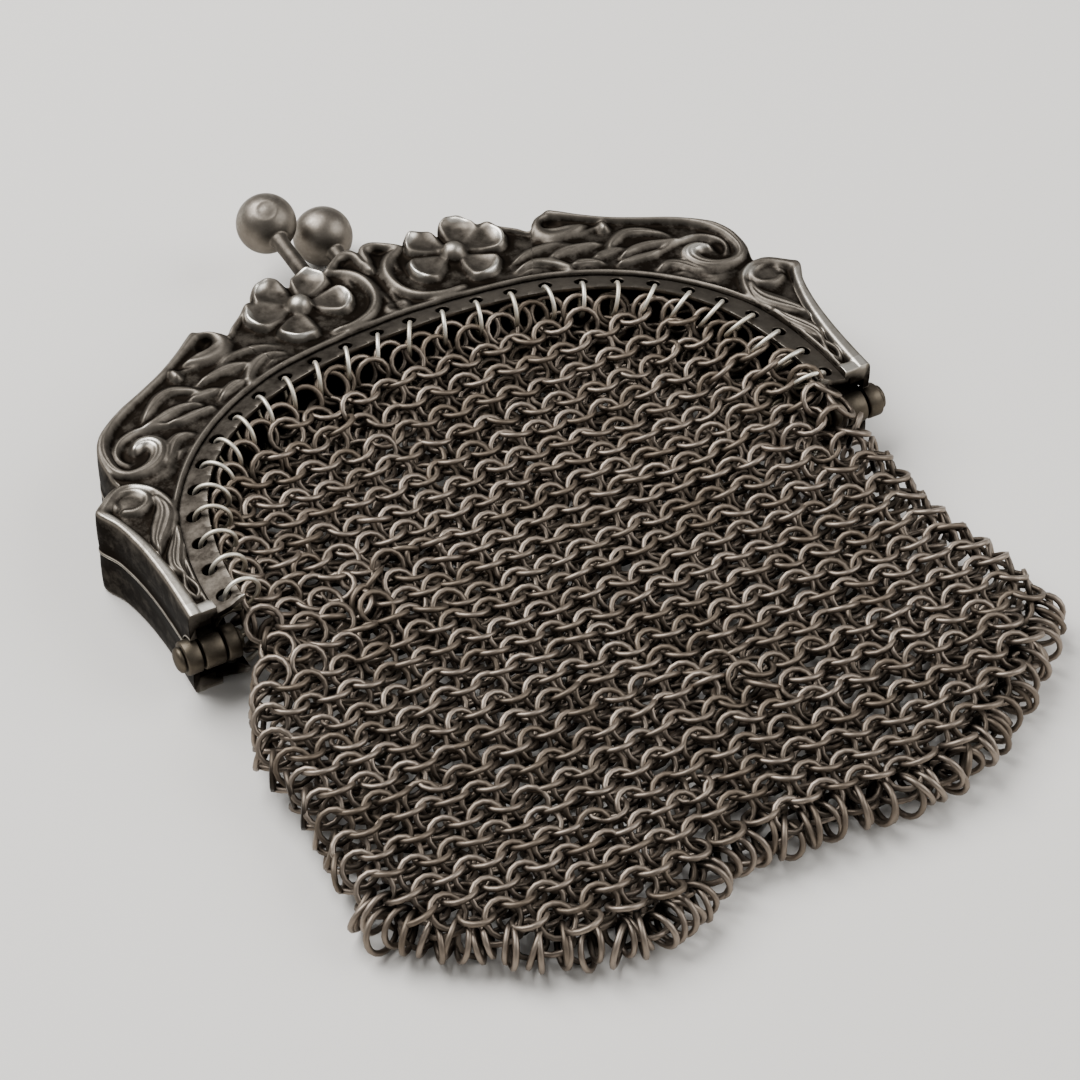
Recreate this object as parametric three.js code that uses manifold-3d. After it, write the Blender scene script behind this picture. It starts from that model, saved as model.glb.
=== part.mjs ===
// Silver mesh purse: two stamped half frames, hinged and closed, with a bag of ring mail hung between them.
// Millimetres. +X runs along the hinge line, +Y from the hinges to the clasp balls, +Z up.
// The purse lies on its back, so z = 0 is the surface under it. Until the last lines, x = 0 and y = 0
// is the point midway between the frame's two ends.

import * as THREE from 'three';
import { mergeVertices } from 'three/addons/utils/BufferGeometryUtils.js';
import Module from 'manifold-3d';

const wasm = await Module();
wasm.setup();

// Driving sizes
const GAP = 0.3; // between pieces that meet
const FRAME_DEPTH = 8.5; // both half frames together, front face to back face
const SHEET = 0.6; // stamped silver
const FLANGE_DROP = 0.8; // from the face down to the root of the holed flange
const LIP_RISE = 0.6; // the flange slopes up again towards its inner edge
const HOLE_COUNT = 27;
const HOLE_RADIUS = 0.55;
const END_TO_FIRST_HOLE = 1.3;

const HINGE_Y = 0.2; // hinge axis, in the ends of the frame
const KNUCKLE_RADIUS = 1.4;
const PIN_RADIUS = 0.45;
const PIN_HEAD_RADIUS = 0.85;
const PIN_HEAD_LENGTH = 0.4;
const STRAP_END_Y = 2.8; // each knuckle's strap runs this far up inside the frame

const BALL_RADIUS = 2.6;
const BALL_Y = 42;
const STEM_RADIUS = 0.75;
const STEM_ROOT_Y = 31.4; // soldered inside the frame's rim

const BAG_CENTRE_Y = -8; // every point of the bag's outline can be seen from here
const BAG_DEPTH = 5; // two layers of mail lying on each other
const BAG_WALL = 1.6;
const MOUTH_LOW = 0.9; // underside and top of the bag where it hangs in the arch
const MOUTH_HIGH = 7.6;
const MOUTH_WALL = 1.1;
const MOUTH_OVERCUT = 1.5; // the hollow runs this far past the arch, which leaves the mouth open
const SAG_FROM_Y = 3; // between these two levels the bag drops from the frame to the table
const SAG_TO_Y = -9;

const ROUND_SIDES = 12;
const HOLE_SIDES = 6;
const STATION_STEP = 4; // degrees between sections of the frame, at most

// Half of the arch from the front. deg is the direction from the hinge line; rim, border and lip are the
// distances to the outer outline, to the face's inner border and to the flange's inner edge.
const ARCH = [
  { deg: 0.8, rim: 30.0, border: 27.9, lip: 25.5 }, // end by the hinge
  { deg: 11.3, rim: 30.6, border: 28.1, lip: 25.8 },
  { deg: 19.8, rim: 32.4, border: 28.3, lip: 25.9 },
  { deg: 23.7, rim: 34.6, border: 28.4, lip: 26.0 }, // pointed corner
  { deg: 26.6, rim: 33.7, border: 28.3, lip: 26.1 },
  { deg: 29.0, rim: 33.2, border: 28.2, lip: 26.1 }, // notch between the two scrolls
  { deg: 31.8, rim: 34.2, border: 28.1, lip: 26.05 },
  { deg: 37.5, rim: 35.3, border: 27.8, lip: 25.8 }, // large scroll
  { deg: 44.4, rim: 34.6, border: 27.3, lip: 25.3 },
  { deg: 50.4, rim: 33.8, border: 26.8, lip: 24.8 },
  { deg: 55.8, rim: 33.8, border: 26.3, lip: 24.2 },
  { deg: 61.4, rim: 34.1, border: 25.8, lip: 23.55 }, // corner of the folded leaf
  { deg: 64.2, rim: 31.7, border: 25.5, lip: 23.3 },
  { deg: 68.3, rim: 32.4, border: 25.0, lip: 22.9 },
  { deg: 74.5, rim: 33.8, border: 24.5, lip: 22.45 }, // petals of the flower
  { deg: 83.5, rim: 32.7, border: 24.2, lip: 22.1 },
  { deg: 87.2, rim: 33.3, border: 24.1, lip: 22.0 }, // small leaves at the middle
  { deg: 90.0, rim: 32.9, border: 24.1, lip: 21.95 },
];

// Hinge knuckles of one side, by their distances from the middle of the purse.
const KNUCKLES = [
  { half: 'back', inner: 29.8, outer: 31.0 },
  { half: 'front', inner: 27.9, outer: 29.5 },
  { half: 'back', inner: 26.5, outer: 27.6 },
];

// Clasp balls, each on a stem from its own half frame.
const BALLS = {
  front: { x: -4.1, z: 6.1 },
  back: { x: 1.1, z: 2.65 },
};

// Sides of the bag below the hinges: the distances to the left and right edges at each level.
const BAG_SIDES = [
  { y: -2.2, left: 25.9, right: 26.8 },
  { y: -4.2, left: 28.1, right: 29.2 },
  { y: -7.5, left: 29.8, right: 30.1 },
  { y: -13.0, left: 30.3, right: 30.8 },
  { y: -18.0, left: 30.4, right: 31.3 },
  { y: -23.0, left: 30.5, right: 32.6 },
  { y: -26.0, left: 30.6, right: 32.2 },
  { y: -29.5, left: 29.8, right: 28.6 },
  { y: -32.5, left: 27.2, right: 24.6 },
  { y: -35.5, left: 23.4, right: 20.2 },
  { y: -37.6, left: 19.4, right: 15.0 },
];

// Bottom edge of the bag from left to right: it sags lower on the left.
const BAG_BOTTOM = [
  { x: -14.5, y: -39.8 },
  { x: -9.8, y: -39.6 },
  { x: -6.0, y: -38.2 },
  { x: -3.0, y: -36.8 },
  { x: 4.0, y: -37.0 },
  { x: 10.0, y: -37.4 },
];

// Folds and lumps of the bag's upper side: where, how wide and how high.
const FOLDS = [
  { x: -19, y: 1, reach: 6, lift: -0.5 },
  { x: 3, y: -22, reach: 7, lift: 0.4 },
  { x: 17, y: -14, reach: 8, lift: -0.4 },
  { x: -14, y: -31, reach: 6, lift: 0.3 },
  { x: 12, y: -31, reach: 6, lift: -0.3 },
];

// Rings of the bag from its edge to its middle: scale of the outline, and how much of the bag's depth
// the ring has at the round edge.
const BAG_RINGS = [
  { scale: 1, depth: 0.35 },
  { scale: 0.95, depth: 0.85 },
  { scale: 0.86, depth: 1 },
  { scale: 0.62, depth: 1 },
  { scale: 0.32, depth: 1 },
];

// Solids

// A closed geometry as a solid, with its shared corners merged.
function solidOf(geometry) {
  const plain = geometry.clone();
  plain.deleteAttribute('normal');
  plain.deleteAttribute('uv');
  const merged = mergeVertices(plain);
  return new wasm.Manifold(
    new wasm.Mesh({
      numProp: 3,
      vertProperties: Float32Array.from(merged.attributes.position.array),
      triVerts: Uint32Array.from(merged.index.array),
    }),
  );
}

function geometryOf(solid) {
  const mesh = solid.getMesh();
  const geometry = new THREE.BufferGeometry();
  geometry.setAttribute('position', new THREE.BufferAttribute(mesh.vertProperties, 3));
  geometry.setIndex(new THREE.BufferAttribute(mesh.triVerts, 1));
  geometry.computeVertexNormals();
  return geometry;
}

function geometryFrom(corners, triangles) {
  const geometry = new THREE.BufferGeometry();
  geometry.setAttribute('position', new THREE.Float32BufferAttribute(corners.flat(), 3));
  geometry.setIndex(triangles.flat());
  return geometry;
}

// Box between two opposite corners.
function blockSolid(low, high) {
  const size = high.map((value, axis) => value - low[axis]);
  const centre = high.map((value, axis) => (value + low[axis]) / 2);
  return solidOf(new THREE.BoxGeometry(...size).translate(...centre));
}

// Half frames

// Distances of the arch's section at an angle, straight between the table's rows and mirrored at 90 degrees.
function archAt(deg) {
  const folded = deg > 90 ? 180 - deg : deg;
  const next = Math.max(1, ARCH.findIndex((row) => row.deg >= folded));
  const [a, b] = [ARCH[next - 1], ARCH[next]];
  const t = (folded - a.deg) / (b.deg - a.deg);
  return {
    rim: THREE.MathUtils.lerp(a.rim, b.rim, t),
    border: THREE.MathUtils.lerp(a.border, b.border, t),
    lip: THREE.MathUtils.lerp(a.lip, b.lip, t),
  };
}

// Angles of the frame's sections from one end to the other: every row of the table and even steps between.
function archStations() {
  const half = [];
  for (let row = 1; row < ARCH.length; row += 1) {
    const [from, to] = [ARCH[row - 1].deg, ARCH[row].deg];
    const steps = Math.ceil((to - from) / STATION_STEP);
    for (let step = 0; step < steps; step += 1) half.push(from + ((to - from) * step) / steps);
  }
  const other = half.map((deg) => 180 - deg).reverse();
  return [...half, 90, ...other];
}

function polar(deg, distance) {
  const angle = THREE.MathUtils.degToRad(deg);
  return [distance * Math.cos(angle), distance * Math.sin(angle)];
}

// Height of a level of the front half, or of its mirror level in the back half.
function levelOf(half, z) {
  return half === 'front' ? z : FRAME_DEPTH - z;
}

// Corners of the bent sheet's section: up the side wall, across the face, down to the flange and back inside.
function sheetSection(half, deg) {
  const { rim, border, lip } = archAt(deg);
  const seam = FRAME_DEPTH / 2 + GAP / 2;
  const flange = FRAME_DEPTH - FLANGE_DROP;
  const corners = [
    [rim, seam],
    [rim, FRAME_DEPTH],
    [border, FRAME_DEPTH],
    [border, flange],
    [lip, flange + LIP_RISE],
    [lip, flange + LIP_RISE - SHEET],
    [border + SHEET, flange - SHEET],
    [border + SHEET, FRAME_DEPTH - SHEET],
    [rim - SHEET, FRAME_DEPTH - SHEET],
    [rim - SHEET, seam],
  ].map(([distance, z]) => [distance, levelOf(half, z)]);
  return half === 'front' ? corners : corners.reverse();
}

// The sheet carried round the arch, closed at its two ends.
function archSolid(half) {
  const stations = archStations();
  const sections = stations.map((deg) => sheetSection(half, deg));
  const count = sections[0].length;
  const corners = [];
  const triangles = [];
  stations.forEach((deg, station) => {
    for (const [distance, z] of sections[station]) corners.push([...polar(deg, distance), z]);
  });
  for (let station = 0; station + 1 < stations.length; station += 1) {
    for (let side = 0; side < count; side += 1) {
      const a = station * count + side;
      const b = station * count + ((side + 1) % count);
      triangles.push([a, a + count, b], [b, a + count, b + count]);
    }
  }
  const last = (stations.length - 1) * count;
  const outline = sections[0].map(([distance, z]) => new THREE.Vector2(distance, z));
  for (const [a, b, c] of THREE.ShapeUtils.triangulateShape(outline, [])) {
    triangles.push([a, b, c], [last + a, last + c, last + b]);
  }
  return solidOf(geometryFrom(corners, triangles));
}

// Points evenly spaced along the middle of the flange, one for each hole.
function holePlaces() {
  const middle = archStations().map((deg) => {
    const { border, lip } = archAt(deg);
    return new THREE.Vector3(...polar(deg, (border + lip) / 2), 0);
  });
  const path = new THREE.CatmullRomCurve3(middle);
  path.arcLengthDivisions = 800;
  const first = END_TO_FIRST_HOLE / path.getLength();
  const places = [];
  for (let hole = 0; hole < HOLE_COUNT; hole += 1) {
    places.push(path.getPointAt(first + ((1 - 2 * first) * hole) / (HOLE_COUNT - 1)));
  }
  return places;
}

function holeSolid(half, place) {
  const level = levelOf(half, FRAME_DEPTH - FLANGE_DROP + LIP_RISE / 2 - SHEET / 2);
  const punch = new THREE.CylinderGeometry(HOLE_RADIUS, HOLE_RADIUS, 3 * SHEET, HOLE_SIDES);
  punch.rotateX(Math.PI / 2).translate(place.x, place.y, level);
  return solidOf(punch);
}

// One knuckle: a tube on the hinge axis and the strap that runs from it up inside the end of its half frame.
function knuckleSolid({ half, inner, outer }, side) {
  const ring = new THREE.Shape().absarc(0, 0, KNUCKLE_RADIUS, 0, 2 * Math.PI);
  ring.holes.push(new THREE.Path().absarc(0, 0, PIN_RADIUS + GAP, 0, 2 * Math.PI, true));
  const tube = new THREE.ExtrudeGeometry(ring, {
    depth: outer - inner,
    bevelEnabled: false,
    curveSegments: ROUND_SIDES,
  });
  const start = side > 0 ? inner : -outer;
  tube.rotateY(Math.PI / 2).translate(start, HINGE_Y, FRAME_DEPTH / 2);

  const strapOuter = Math.min(outer, ARCH[0].rim + SHEET);
  const across = side > 0 ? [inner, strapOuter] : [-strapOuter, -inner];
  const boreTop = FRAME_DEPTH / 2 + PIN_RADIUS + GAP;
  const strapLow = levelOf(half, boreTop);
  const strapHigh = levelOf(half, boreTop + SHEET);
  const root = levelOf(half, FRAME_DEPTH - FLANGE_DROP - SHEET / 2);
  const strap = blockSolid(
    [across[0], HINGE_Y, Math.min(strapLow, strapHigh)],
    [across[1], STRAP_END_Y, Math.max(strapLow, strapHigh)],
  );
  const post = blockSolid(
    [across[0], STRAP_END_Y - SHEET, Math.min(strapLow, root)],
    [across[1], STRAP_END_Y, Math.max(strapLow, root)],
  );
  return solidOf(tube).add(strap).add(post);
}

// A clasp ball with its stem.
function ballSolid({ x, z }) {
  const ball = new THREE.SphereGeometry(BALL_RADIUS, ROUND_SIDES, 8).translate(x, BALL_Y, z);
  const length = BALL_Y - STEM_ROOT_Y;
  const stem = new THREE.CylinderGeometry(STEM_RADIUS, STEM_RADIUS, length, 8);
  stem.translate(x, (BALL_Y + STEM_ROOT_Y) / 2, z);
  return solidOf(ball).add(solidOf(stem));
}

// Room for the knuckles in the two ends of a half frame.
function hingeRoom() {
  const length = 2 * (KNUCKLES[0].outer + GAP);
  const radius = KNUCKLE_RADIUS + GAP;
  const room = new THREE.CylinderGeometry(radius, radius, length, 2 * ROUND_SIDES);
  room.rotateZ(Math.PI / 2).translate(0, HINGE_Y, FRAME_DEPTH / 2);
  return solidOf(room);
}

function halfFrame(half) {
  let solid = archSolid(half).subtract(hingeRoom());
  for (const place of holePlaces()) solid = solid.subtract(holeSolid(half, place));
  for (const knuckle of KNUCKLES.filter((row) => row.half === half)) {
    solid = solid.add(knuckleSolid(knuckle, 1)).add(knuckleSolid(knuckle, -1));
  }
  return geometryOf(solid.add(ballSolid(BALLS[half])));
}

// Hinge pins

// Pin with a rivet head at each end, through the three knuckles of one side.
function hingePin(side) {
  const innerFace = KNUCKLES[2].inner - GAP;
  const outerFace = KNUCKLES[0].outer + GAP;
  const profile = [
    [0, innerFace - PIN_HEAD_LENGTH],
    [PIN_HEAD_RADIUS, innerFace - PIN_HEAD_LENGTH],
    [PIN_HEAD_RADIUS, innerFace],
    [PIN_RADIUS, innerFace],
    [PIN_RADIUS, outerFace],
    [PIN_HEAD_RADIUS, outerFace],
    [PIN_HEAD_RADIUS, outerFace + PIN_HEAD_LENGTH],
    [0, outerFace + PIN_HEAD_LENGTH],
  ].map(([radius, along]) => new THREE.Vector2(radius, along));
  const pin = new THREE.LatheGeometry(profile, ROUND_SIDES);
  pin.rotateZ((-side * Math.PI) / 2).translate(0, HINGE_Y, FRAME_DEPTH / 2);
  return geometryOf(solidOf(pin));
}

// Mail bag

// Closed outline: round the arch from right to left, then down the left side and up the right one.
// grow widens the arch, inset draws the sides in.
function bagOutline(grow, inset) {
  const arch = [];
  for (const deg of archStations().filter((value, index) => index % 2 === 0)) {
    const [x, y] = polar(deg, archAt(deg).lip - GAP + grow);
    arch.push([x, Math.max(y, 0)]);
  }
  const left = BAG_SIDES.map((row) => [-row.left, row.y]);
  const right = BAG_SIDES.map((row) => [row.right, row.y]).reverse();
  const bottom = BAG_BOTTOM.map((row) => [row.x, row.y]);
  const body = [...left, ...bottom, ...right].map(([x, y]) => {
    const distance = Math.hypot(x, y - BAG_CENTRE_Y);
    const scale = (distance - inset) / distance;
    return [x * scale, BAG_CENTRE_Y + (y - BAG_CENTRE_Y) * scale];
  });
  return [...arch, ...body];
}

// How far a level is up in the arch: 0 where the bag lies on the table, 1 where it hangs in the frame.
function archShare(y) {
  return THREE.MathUtils.smoothstep(y, SAG_TO_Y, SAG_FROM_Y);
}

function foldLift(x, y) {
  let lift = 0;
  for (const fold of FOLDS) {
    const away = Math.hypot(x - fold.x, y - fold.y) / fold.reach;
    lift += fold.lift * Math.exp(-away * away);
  }
  return lift;
}

// Underside and top of the bag, or of its hollow, at a point.
function bagLevels(x, y, hollow) {
  const share = archShare(y);
  const wall = hollow ? THREE.MathUtils.lerp(BAG_WALL, MOUTH_WALL, share) : 0;
  const lift = foldLift(x, y) * (1 - share);
  return {
    low: THREE.MathUtils.lerp(0, MOUTH_LOW, share) + wall,
    high: THREE.MathUtils.lerp(BAG_DEPTH, MOUTH_HIGH, share) + lift - wall,
  };
}

// Closed pillow in an outline: rings of the upper and lower sides, drawn in to one middle point each.
function pillowSolid(outline, hollow) {
  const count = outline.length;
  const rings = BAG_RINGS.length;
  const corners = [];
  const triangles = [];
  for (const upper of [true, false]) {
    for (const { scale, depth } of BAG_RINGS) {
      for (const [edgeX, edgeY] of outline) {
        const x = edgeX * scale;
        const y = BAG_CENTRE_Y + (edgeY - BAG_CENTRE_Y) * scale;
        const { low, high } = bagLevels(x, y, hollow);
        const share = THREE.MathUtils.lerp(depth, 1, archShare(edgeY));
        const middle = (low + high) / 2;
        corners.push([x, y, middle + ((upper ? high : low) - middle) * share]);
      }
    }
    const { low, high } = bagLevels(0, BAG_CENTRE_Y, hollow);
    corners.push([0, BAG_CENTRE_Y, upper ? high : low]);
  }
  const lowerStart = rings * count + 1;
  for (let edge = 0; edge < count; edge += 1) {
    const next = (edge + 1) % count;
    for (let ring = 0; ring + 1 < rings; ring += 1) {
      const [a, b] = [ring * count + edge, ring * count + next];
      const [c, d] = [a + count, b + count];
      triangles.push([a, b, c], [c, b, d]);
      triangles.push([lowerStart + a, lowerStart + c, lowerStart + b]);
      triangles.push([lowerStart + c, lowerStart + d, lowerStart + b]);
    }
    const last = (rings - 1) * count;
    triangles.push([last + edge, last + next, rings * count]);
    triangles.push([lowerStart + last + next, lowerStart + last + edge, lowerStart + rings * count]);
    triangles.push([edge, lowerStart + edge, next], [next, lowerStart + edge, lowerStart + next]);
  }
  return solidOf(geometryFrom(corners, triangles));
}

function mailBag() {
  const outside = pillowSolid(bagOutline(0, 0), false);
  const inside = pillowSolid(bagOutline(MOUTH_OVERCUT, BAG_WALL), true);
  return geometryOf(outside.subtract(inside));
}

// Assembly

const silver = { frame: 0x9a958b, mail: 0x8f867a, pin: 0x8a7f68 };

function piece(name, geometry, color, roughness) {
  const material = new THREE.MeshStandardMaterial({ color, roughness, metalness: 1 });
  const mesh = new THREE.Mesh(geometry, material);
  mesh.name = name;
  return mesh;
}

const purse = new THREE.Group();
purse.add(piece('front_frame', halfFrame('front'), silver.frame, 0.35));
purse.add(piece('back_frame', halfFrame('back'), silver.frame, 0.35));
purse.add(piece('hinge_pin_left', hingePin(-1), silver.pin, 0.4));
purse.add(piece('hinge_pin_right', hingePin(1), silver.pin, 0.4));
purse.add(piece('mail_bag', mailBag(), silver.mail, 0.45));

// The origin is on the surface under the purse, below the middle of its outline.
const outer = new THREE.Box3().setFromObject(purse, true);
const middle = outer.getCenter(new THREE.Vector3());
purse.position.set(-middle.x, -middle.y, -outer.min.z);

export default purse;
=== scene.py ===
# %% [markdown]
# A silver coin purse lying on its back: a closed hinged frame stamped with flowers and scrolls, two clasp
# balls, and a bag of ring mail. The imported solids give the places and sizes; the surfaces that the eye sees
# are worked out here with numpy, in millimetres, and put into meshes in metres.

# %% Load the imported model
import math

import bmesh
import bpy
import numpy as np
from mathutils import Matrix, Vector


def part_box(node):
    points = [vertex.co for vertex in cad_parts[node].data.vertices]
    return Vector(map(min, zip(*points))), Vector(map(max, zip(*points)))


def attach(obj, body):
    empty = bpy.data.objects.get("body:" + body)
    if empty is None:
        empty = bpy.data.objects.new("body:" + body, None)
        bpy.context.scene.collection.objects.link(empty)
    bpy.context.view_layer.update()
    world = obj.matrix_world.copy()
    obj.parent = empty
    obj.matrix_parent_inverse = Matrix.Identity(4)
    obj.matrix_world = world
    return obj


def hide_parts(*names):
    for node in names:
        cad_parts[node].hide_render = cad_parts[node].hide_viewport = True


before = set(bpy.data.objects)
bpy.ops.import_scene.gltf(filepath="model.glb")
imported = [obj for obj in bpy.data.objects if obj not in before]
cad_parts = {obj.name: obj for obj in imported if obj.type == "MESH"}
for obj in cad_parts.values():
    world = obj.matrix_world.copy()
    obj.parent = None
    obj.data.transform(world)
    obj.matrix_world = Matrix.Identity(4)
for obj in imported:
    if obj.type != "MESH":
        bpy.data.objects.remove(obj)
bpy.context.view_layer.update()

MM = 0.001
print("packed nodes:", sorted(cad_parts))

# %% [markdown]
# Every size below is measured from one point: on the table, midway between the two ends of the frame. The
# frame is the same left and right, so its box gives x. The hinge pin lies a little above the line through
# the ends, so its box gives y, and its height is the seam between the two half frames. The purse
# lies on its back, so that height is also the depth of each half.

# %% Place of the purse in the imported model
HINGE_Y = 0.2


def box_mm(node):
    """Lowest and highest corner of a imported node, in millimetres."""
    low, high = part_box(node)
    return np.array(low) / MM, np.array(high) / MM


frame_low, frame_high = box_mm("front_frame")
pin_low, pin_high = box_mm("hinge_pin_left")
SEAM_Z = (pin_low[2] + pin_high[2]) / 2
HALF_DEPTH = SEAM_Z
ORIGIN = np.array([(frame_low[0] + frame_high[0]) / 2, (pin_low[1] + pin_high[1]) / 2 - HINGE_Y, 0.0])
print("middle of the frame's ends, mm:", ORIGIN.round(2), "half depth", round(HALF_DEPTH, 2))

# %% [markdown]
# The camera stands where the photograph's did: the frame's mirror-image corners fix its direction and its
# distance, and a long lens keeps the perspective weak. The floor is plain and pale.

# %% Camera and floor
EYE = np.array([-97.5, -179.9, 203.7])
LOOK = Vector((0.3392, 0.6275, -0.7009))
LENS_MM = 120.9
SENSOR_MM = 36.0

camera = bpy.data.objects.new("camera", bpy.data.cameras.new("camera"))
camera.data.lens = LENS_MM
camera.data.sensor_width = SENSOR_MM
camera.data.sensor_fit = "HORIZONTAL"
camera.location = (EYE + ORIGIN) * MM
camera.rotation_euler = LOOK.to_track_quat("-Z", "Y").to_euler()
bpy.context.collection.objects.link(camera)
bpy.context.scene.camera = camera

FLOOR_HALF = 1.5  # metres
floor_mesh = bpy.data.meshes.new("floor")
floor_corners = [(-FLOOR_HALF, -FLOOR_HALF, 0), (FLOOR_HALF, -FLOOR_HALF, 0),
                 (FLOOR_HALF, FLOOR_HALF, 0), (-FLOOR_HALF, FLOOR_HALF, 0)]
floor_mesh.from_pydata(floor_corners, [], [(0, 1, 2, 3)])
floor = bpy.data.objects.new("floor", floor_mesh)
bpy.context.collection.objects.link(floor)
print("camera at, m:", tuple(round(value, 3) for value in camera.location))

# %% [markdown]
# Metal shows what it reflects, so the light is two large soft panels, one high at the back left and a weaker
# one at the front right, in a grey room. That gives the wire a bright line on its upper side and leaves the
# hollows dark.

# %% Light
# Places and sizes are in metres, power is in watts.
KEY = dict(place=(-0.20, 0.32, 0.55), size=0.52, power=9.0)
FILL = dict(place=(0.45, -0.25, 0.40), size=0.50, power=3.0)
ROOM_GREY = 0.32


def soft_panel(name, place, size, power):
    """Square area light that faces the purse."""
    light = bpy.data.lights.new(name, "AREA")
    light.size = size
    light.energy = power
    panel = bpy.data.objects.new(name, light)
    panel.location = place
    panel.rotation_euler = (-Vector(place)).to_track_quat("-Z", "Y").to_euler()
    bpy.context.collection.objects.link(panel)


soft_panel("key_light", **KEY)
soft_panel("fill_light", **FILL)
world = bpy.data.worlds.new("room")
world.use_nodes = True
world.node_tree.nodes["Background"].inputs["Color"].default_value = (ROOM_GREY, ROOM_GREY, ROOM_GREY, 1)
bpy.context.scene.world = world
print("lights:", KEY["power"], "W and", FILL["power"], "W")

# %% [markdown]
# Materials. Hex colours are easy to read, but Blender's sockets want linear light, so one function turns one
# into the other. A second function adds a node with its settings and links, which keeps each material to a
# few lines that read from top to bottom.


# %% Colour and node helpers
def linear(hex_colour):
    """sRGB hex to linear RGBA: c / 12.92 where c is at most 0.04045, else ((c + 0.055) / 1.055) ** 2.4."""
    srgb = np.array([int(hex_colour[place:place + 2], 16) for place in (1, 3, 5)]) / 255
    light = np.where(srgb <= 0.04045, srgb / 12.92, ((srgb + 0.055) / 1.055) ** 2.4)
    return (*light.tolist(), 1.0)


def add_node(tree, kind, inputs=None, **settings):
    """Adds a shader node, sets its properties, and links or fills its inputs by name or number."""
    added = tree.nodes.new("ShaderNode" + kind)
    for name, value in settings.items():
        setattr(added, name, value)
    for socket, value in (inputs or {}).items():
        if isinstance(value, bpy.types.NodeSocket):
            tree.links.new(value, added.inputs[socket])
        else:
            added.inputs[socket].default_value = value
    return added


def new_material(name):
    """A new material, with its node tree and its shader."""
    material = bpy.data.materials.new(name)
    material.use_nodes = True
    tree = material.node_tree
    return material, tree, tree.nodes["Principled BSDF"]


def per_mm(size):
    """Texture scale that repeats about every size millimetres, because coordinates are in metres."""
    return 1 / (size * MM)


print("mid grey in linear light:", round(linear("#808080")[0], 3))

# %% [markdown]
# Stamped silver, tarnished and then worn: the die left flowers and scrolls, the years left brown-black
# tarnish in the hollows, and hands rubbed the high parts bright. Each point of the frame carries a number
# called wear, from 0 in a hollow to 1 on a ridge; on the side wall its low value also gives painted shade,
# and on the flange's right side it is raised as painted light. The material adds a cloud of small stains to
# it and turns the sum into colour and gloss. Tarnish painted by hand would not follow when the relief
# changes.

# %% Stamped silver of the frame
STAIN_MM = 1.4
PIT_MM, PIT_DEPTH_MM = 0.25, 0.03
# The film on the metal stays dark at a grazing angle, where clean silver would turn white.
FILM_TINT = (0.6, 0.6, 0.6, 1)


def stamped_silver(name, tarnish_and_shade, body, bright):
    """To the eye: matt tarnish, also painted shade, at low wear, grey satin in between, polish at high wear,
    and fine pits.
    """
    material, tree, shader = new_material(name)
    place = add_node(tree, "TexCoord").outputs["Object"]
    wear = add_node(tree, "Attribute", attribute_name="wear").outputs["Fac"]
    stains = add_node(tree, "TexNoise", {"Vector": place, "Scale": per_mm(STAIN_MM), "Detail": 6.0,
                                         "Roughness": 0.72})
    uneven = add_node(tree, "Math", {0: stains.outputs[0], 1: 0.5, 2: wear},
                      operation="MULTIPLY_ADD").outputs[0]
    rubbed = add_node(tree, "MapRange", {"Value": uneven, "From Min": 0.38, "From Max": 0.85})
    polished = add_node(tree, "MapRange", {"Value": uneven, "From Min": 0.85, "From Max": 1.18})
    base = add_node(tree, "Mix", {0: rubbed.outputs[0], 6: linear(tarnish_and_shade), 7: linear(body)},
                    data_type="RGBA")
    colour = add_node(tree, "Mix", {0: polished.outputs[0], 6: base.outputs[2], 7: linear(bright)},
                      data_type="RGBA")
    gloss = add_node(tree, "MapRange", {"Value": uneven, "From Min": 0.35, "From Max": 1.1, "To Min": 0.56,
                                        "To Max": 0.34})
    pits = add_node(tree, "TexNoise", {"Vector": place, "Scale": per_mm(PIT_MM), "Detail": 3.0})
    bump = add_node(tree, "Bump", {"Height": pits.outputs[0], "Strength": 0.25,
                                   "Distance": PIT_DEPTH_MM * MM})
    tree.links.new(colour.outputs[2], shader.inputs["Base Color"])
    tree.links.new(gloss.outputs[0], shader.inputs["Roughness"])
    tree.links.new(bump.outputs[0], shader.inputs["Normal"])
    shader.inputs["Metallic"].default_value = 1.0
    shader.inputs["Specular Tint"].default_value = FILM_TINT
    return material


# Darkest colour: tarnish in the hollows, and painted shade on the side wall of the frame.
frame_silver = stamped_silver("stamped_tarnished_silver", "#16120e", "#777067", "#cfcac0")
hinge_silver = stamped_silver("yellow_tarnished_silver", "#241f19", "#645c50", "#bdb5a5")
print("materials:", frame_silver.name, hinge_silver.name)

# %% [markdown]
# Drawn silver wire: every link is cut from the same wire, but each has tarnished its own way, so a link
# carries a tint of its own between brown and grey. A second number, depth, is high on the open side of a link
# and low on the side that faces into the mail, and the material darkens that side with painted shade. The
# jump rings at the frame are of thinner wire, kept bright.

# %% Drawn silver wire
WIRE_STAIN_MM = 0.9


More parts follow.
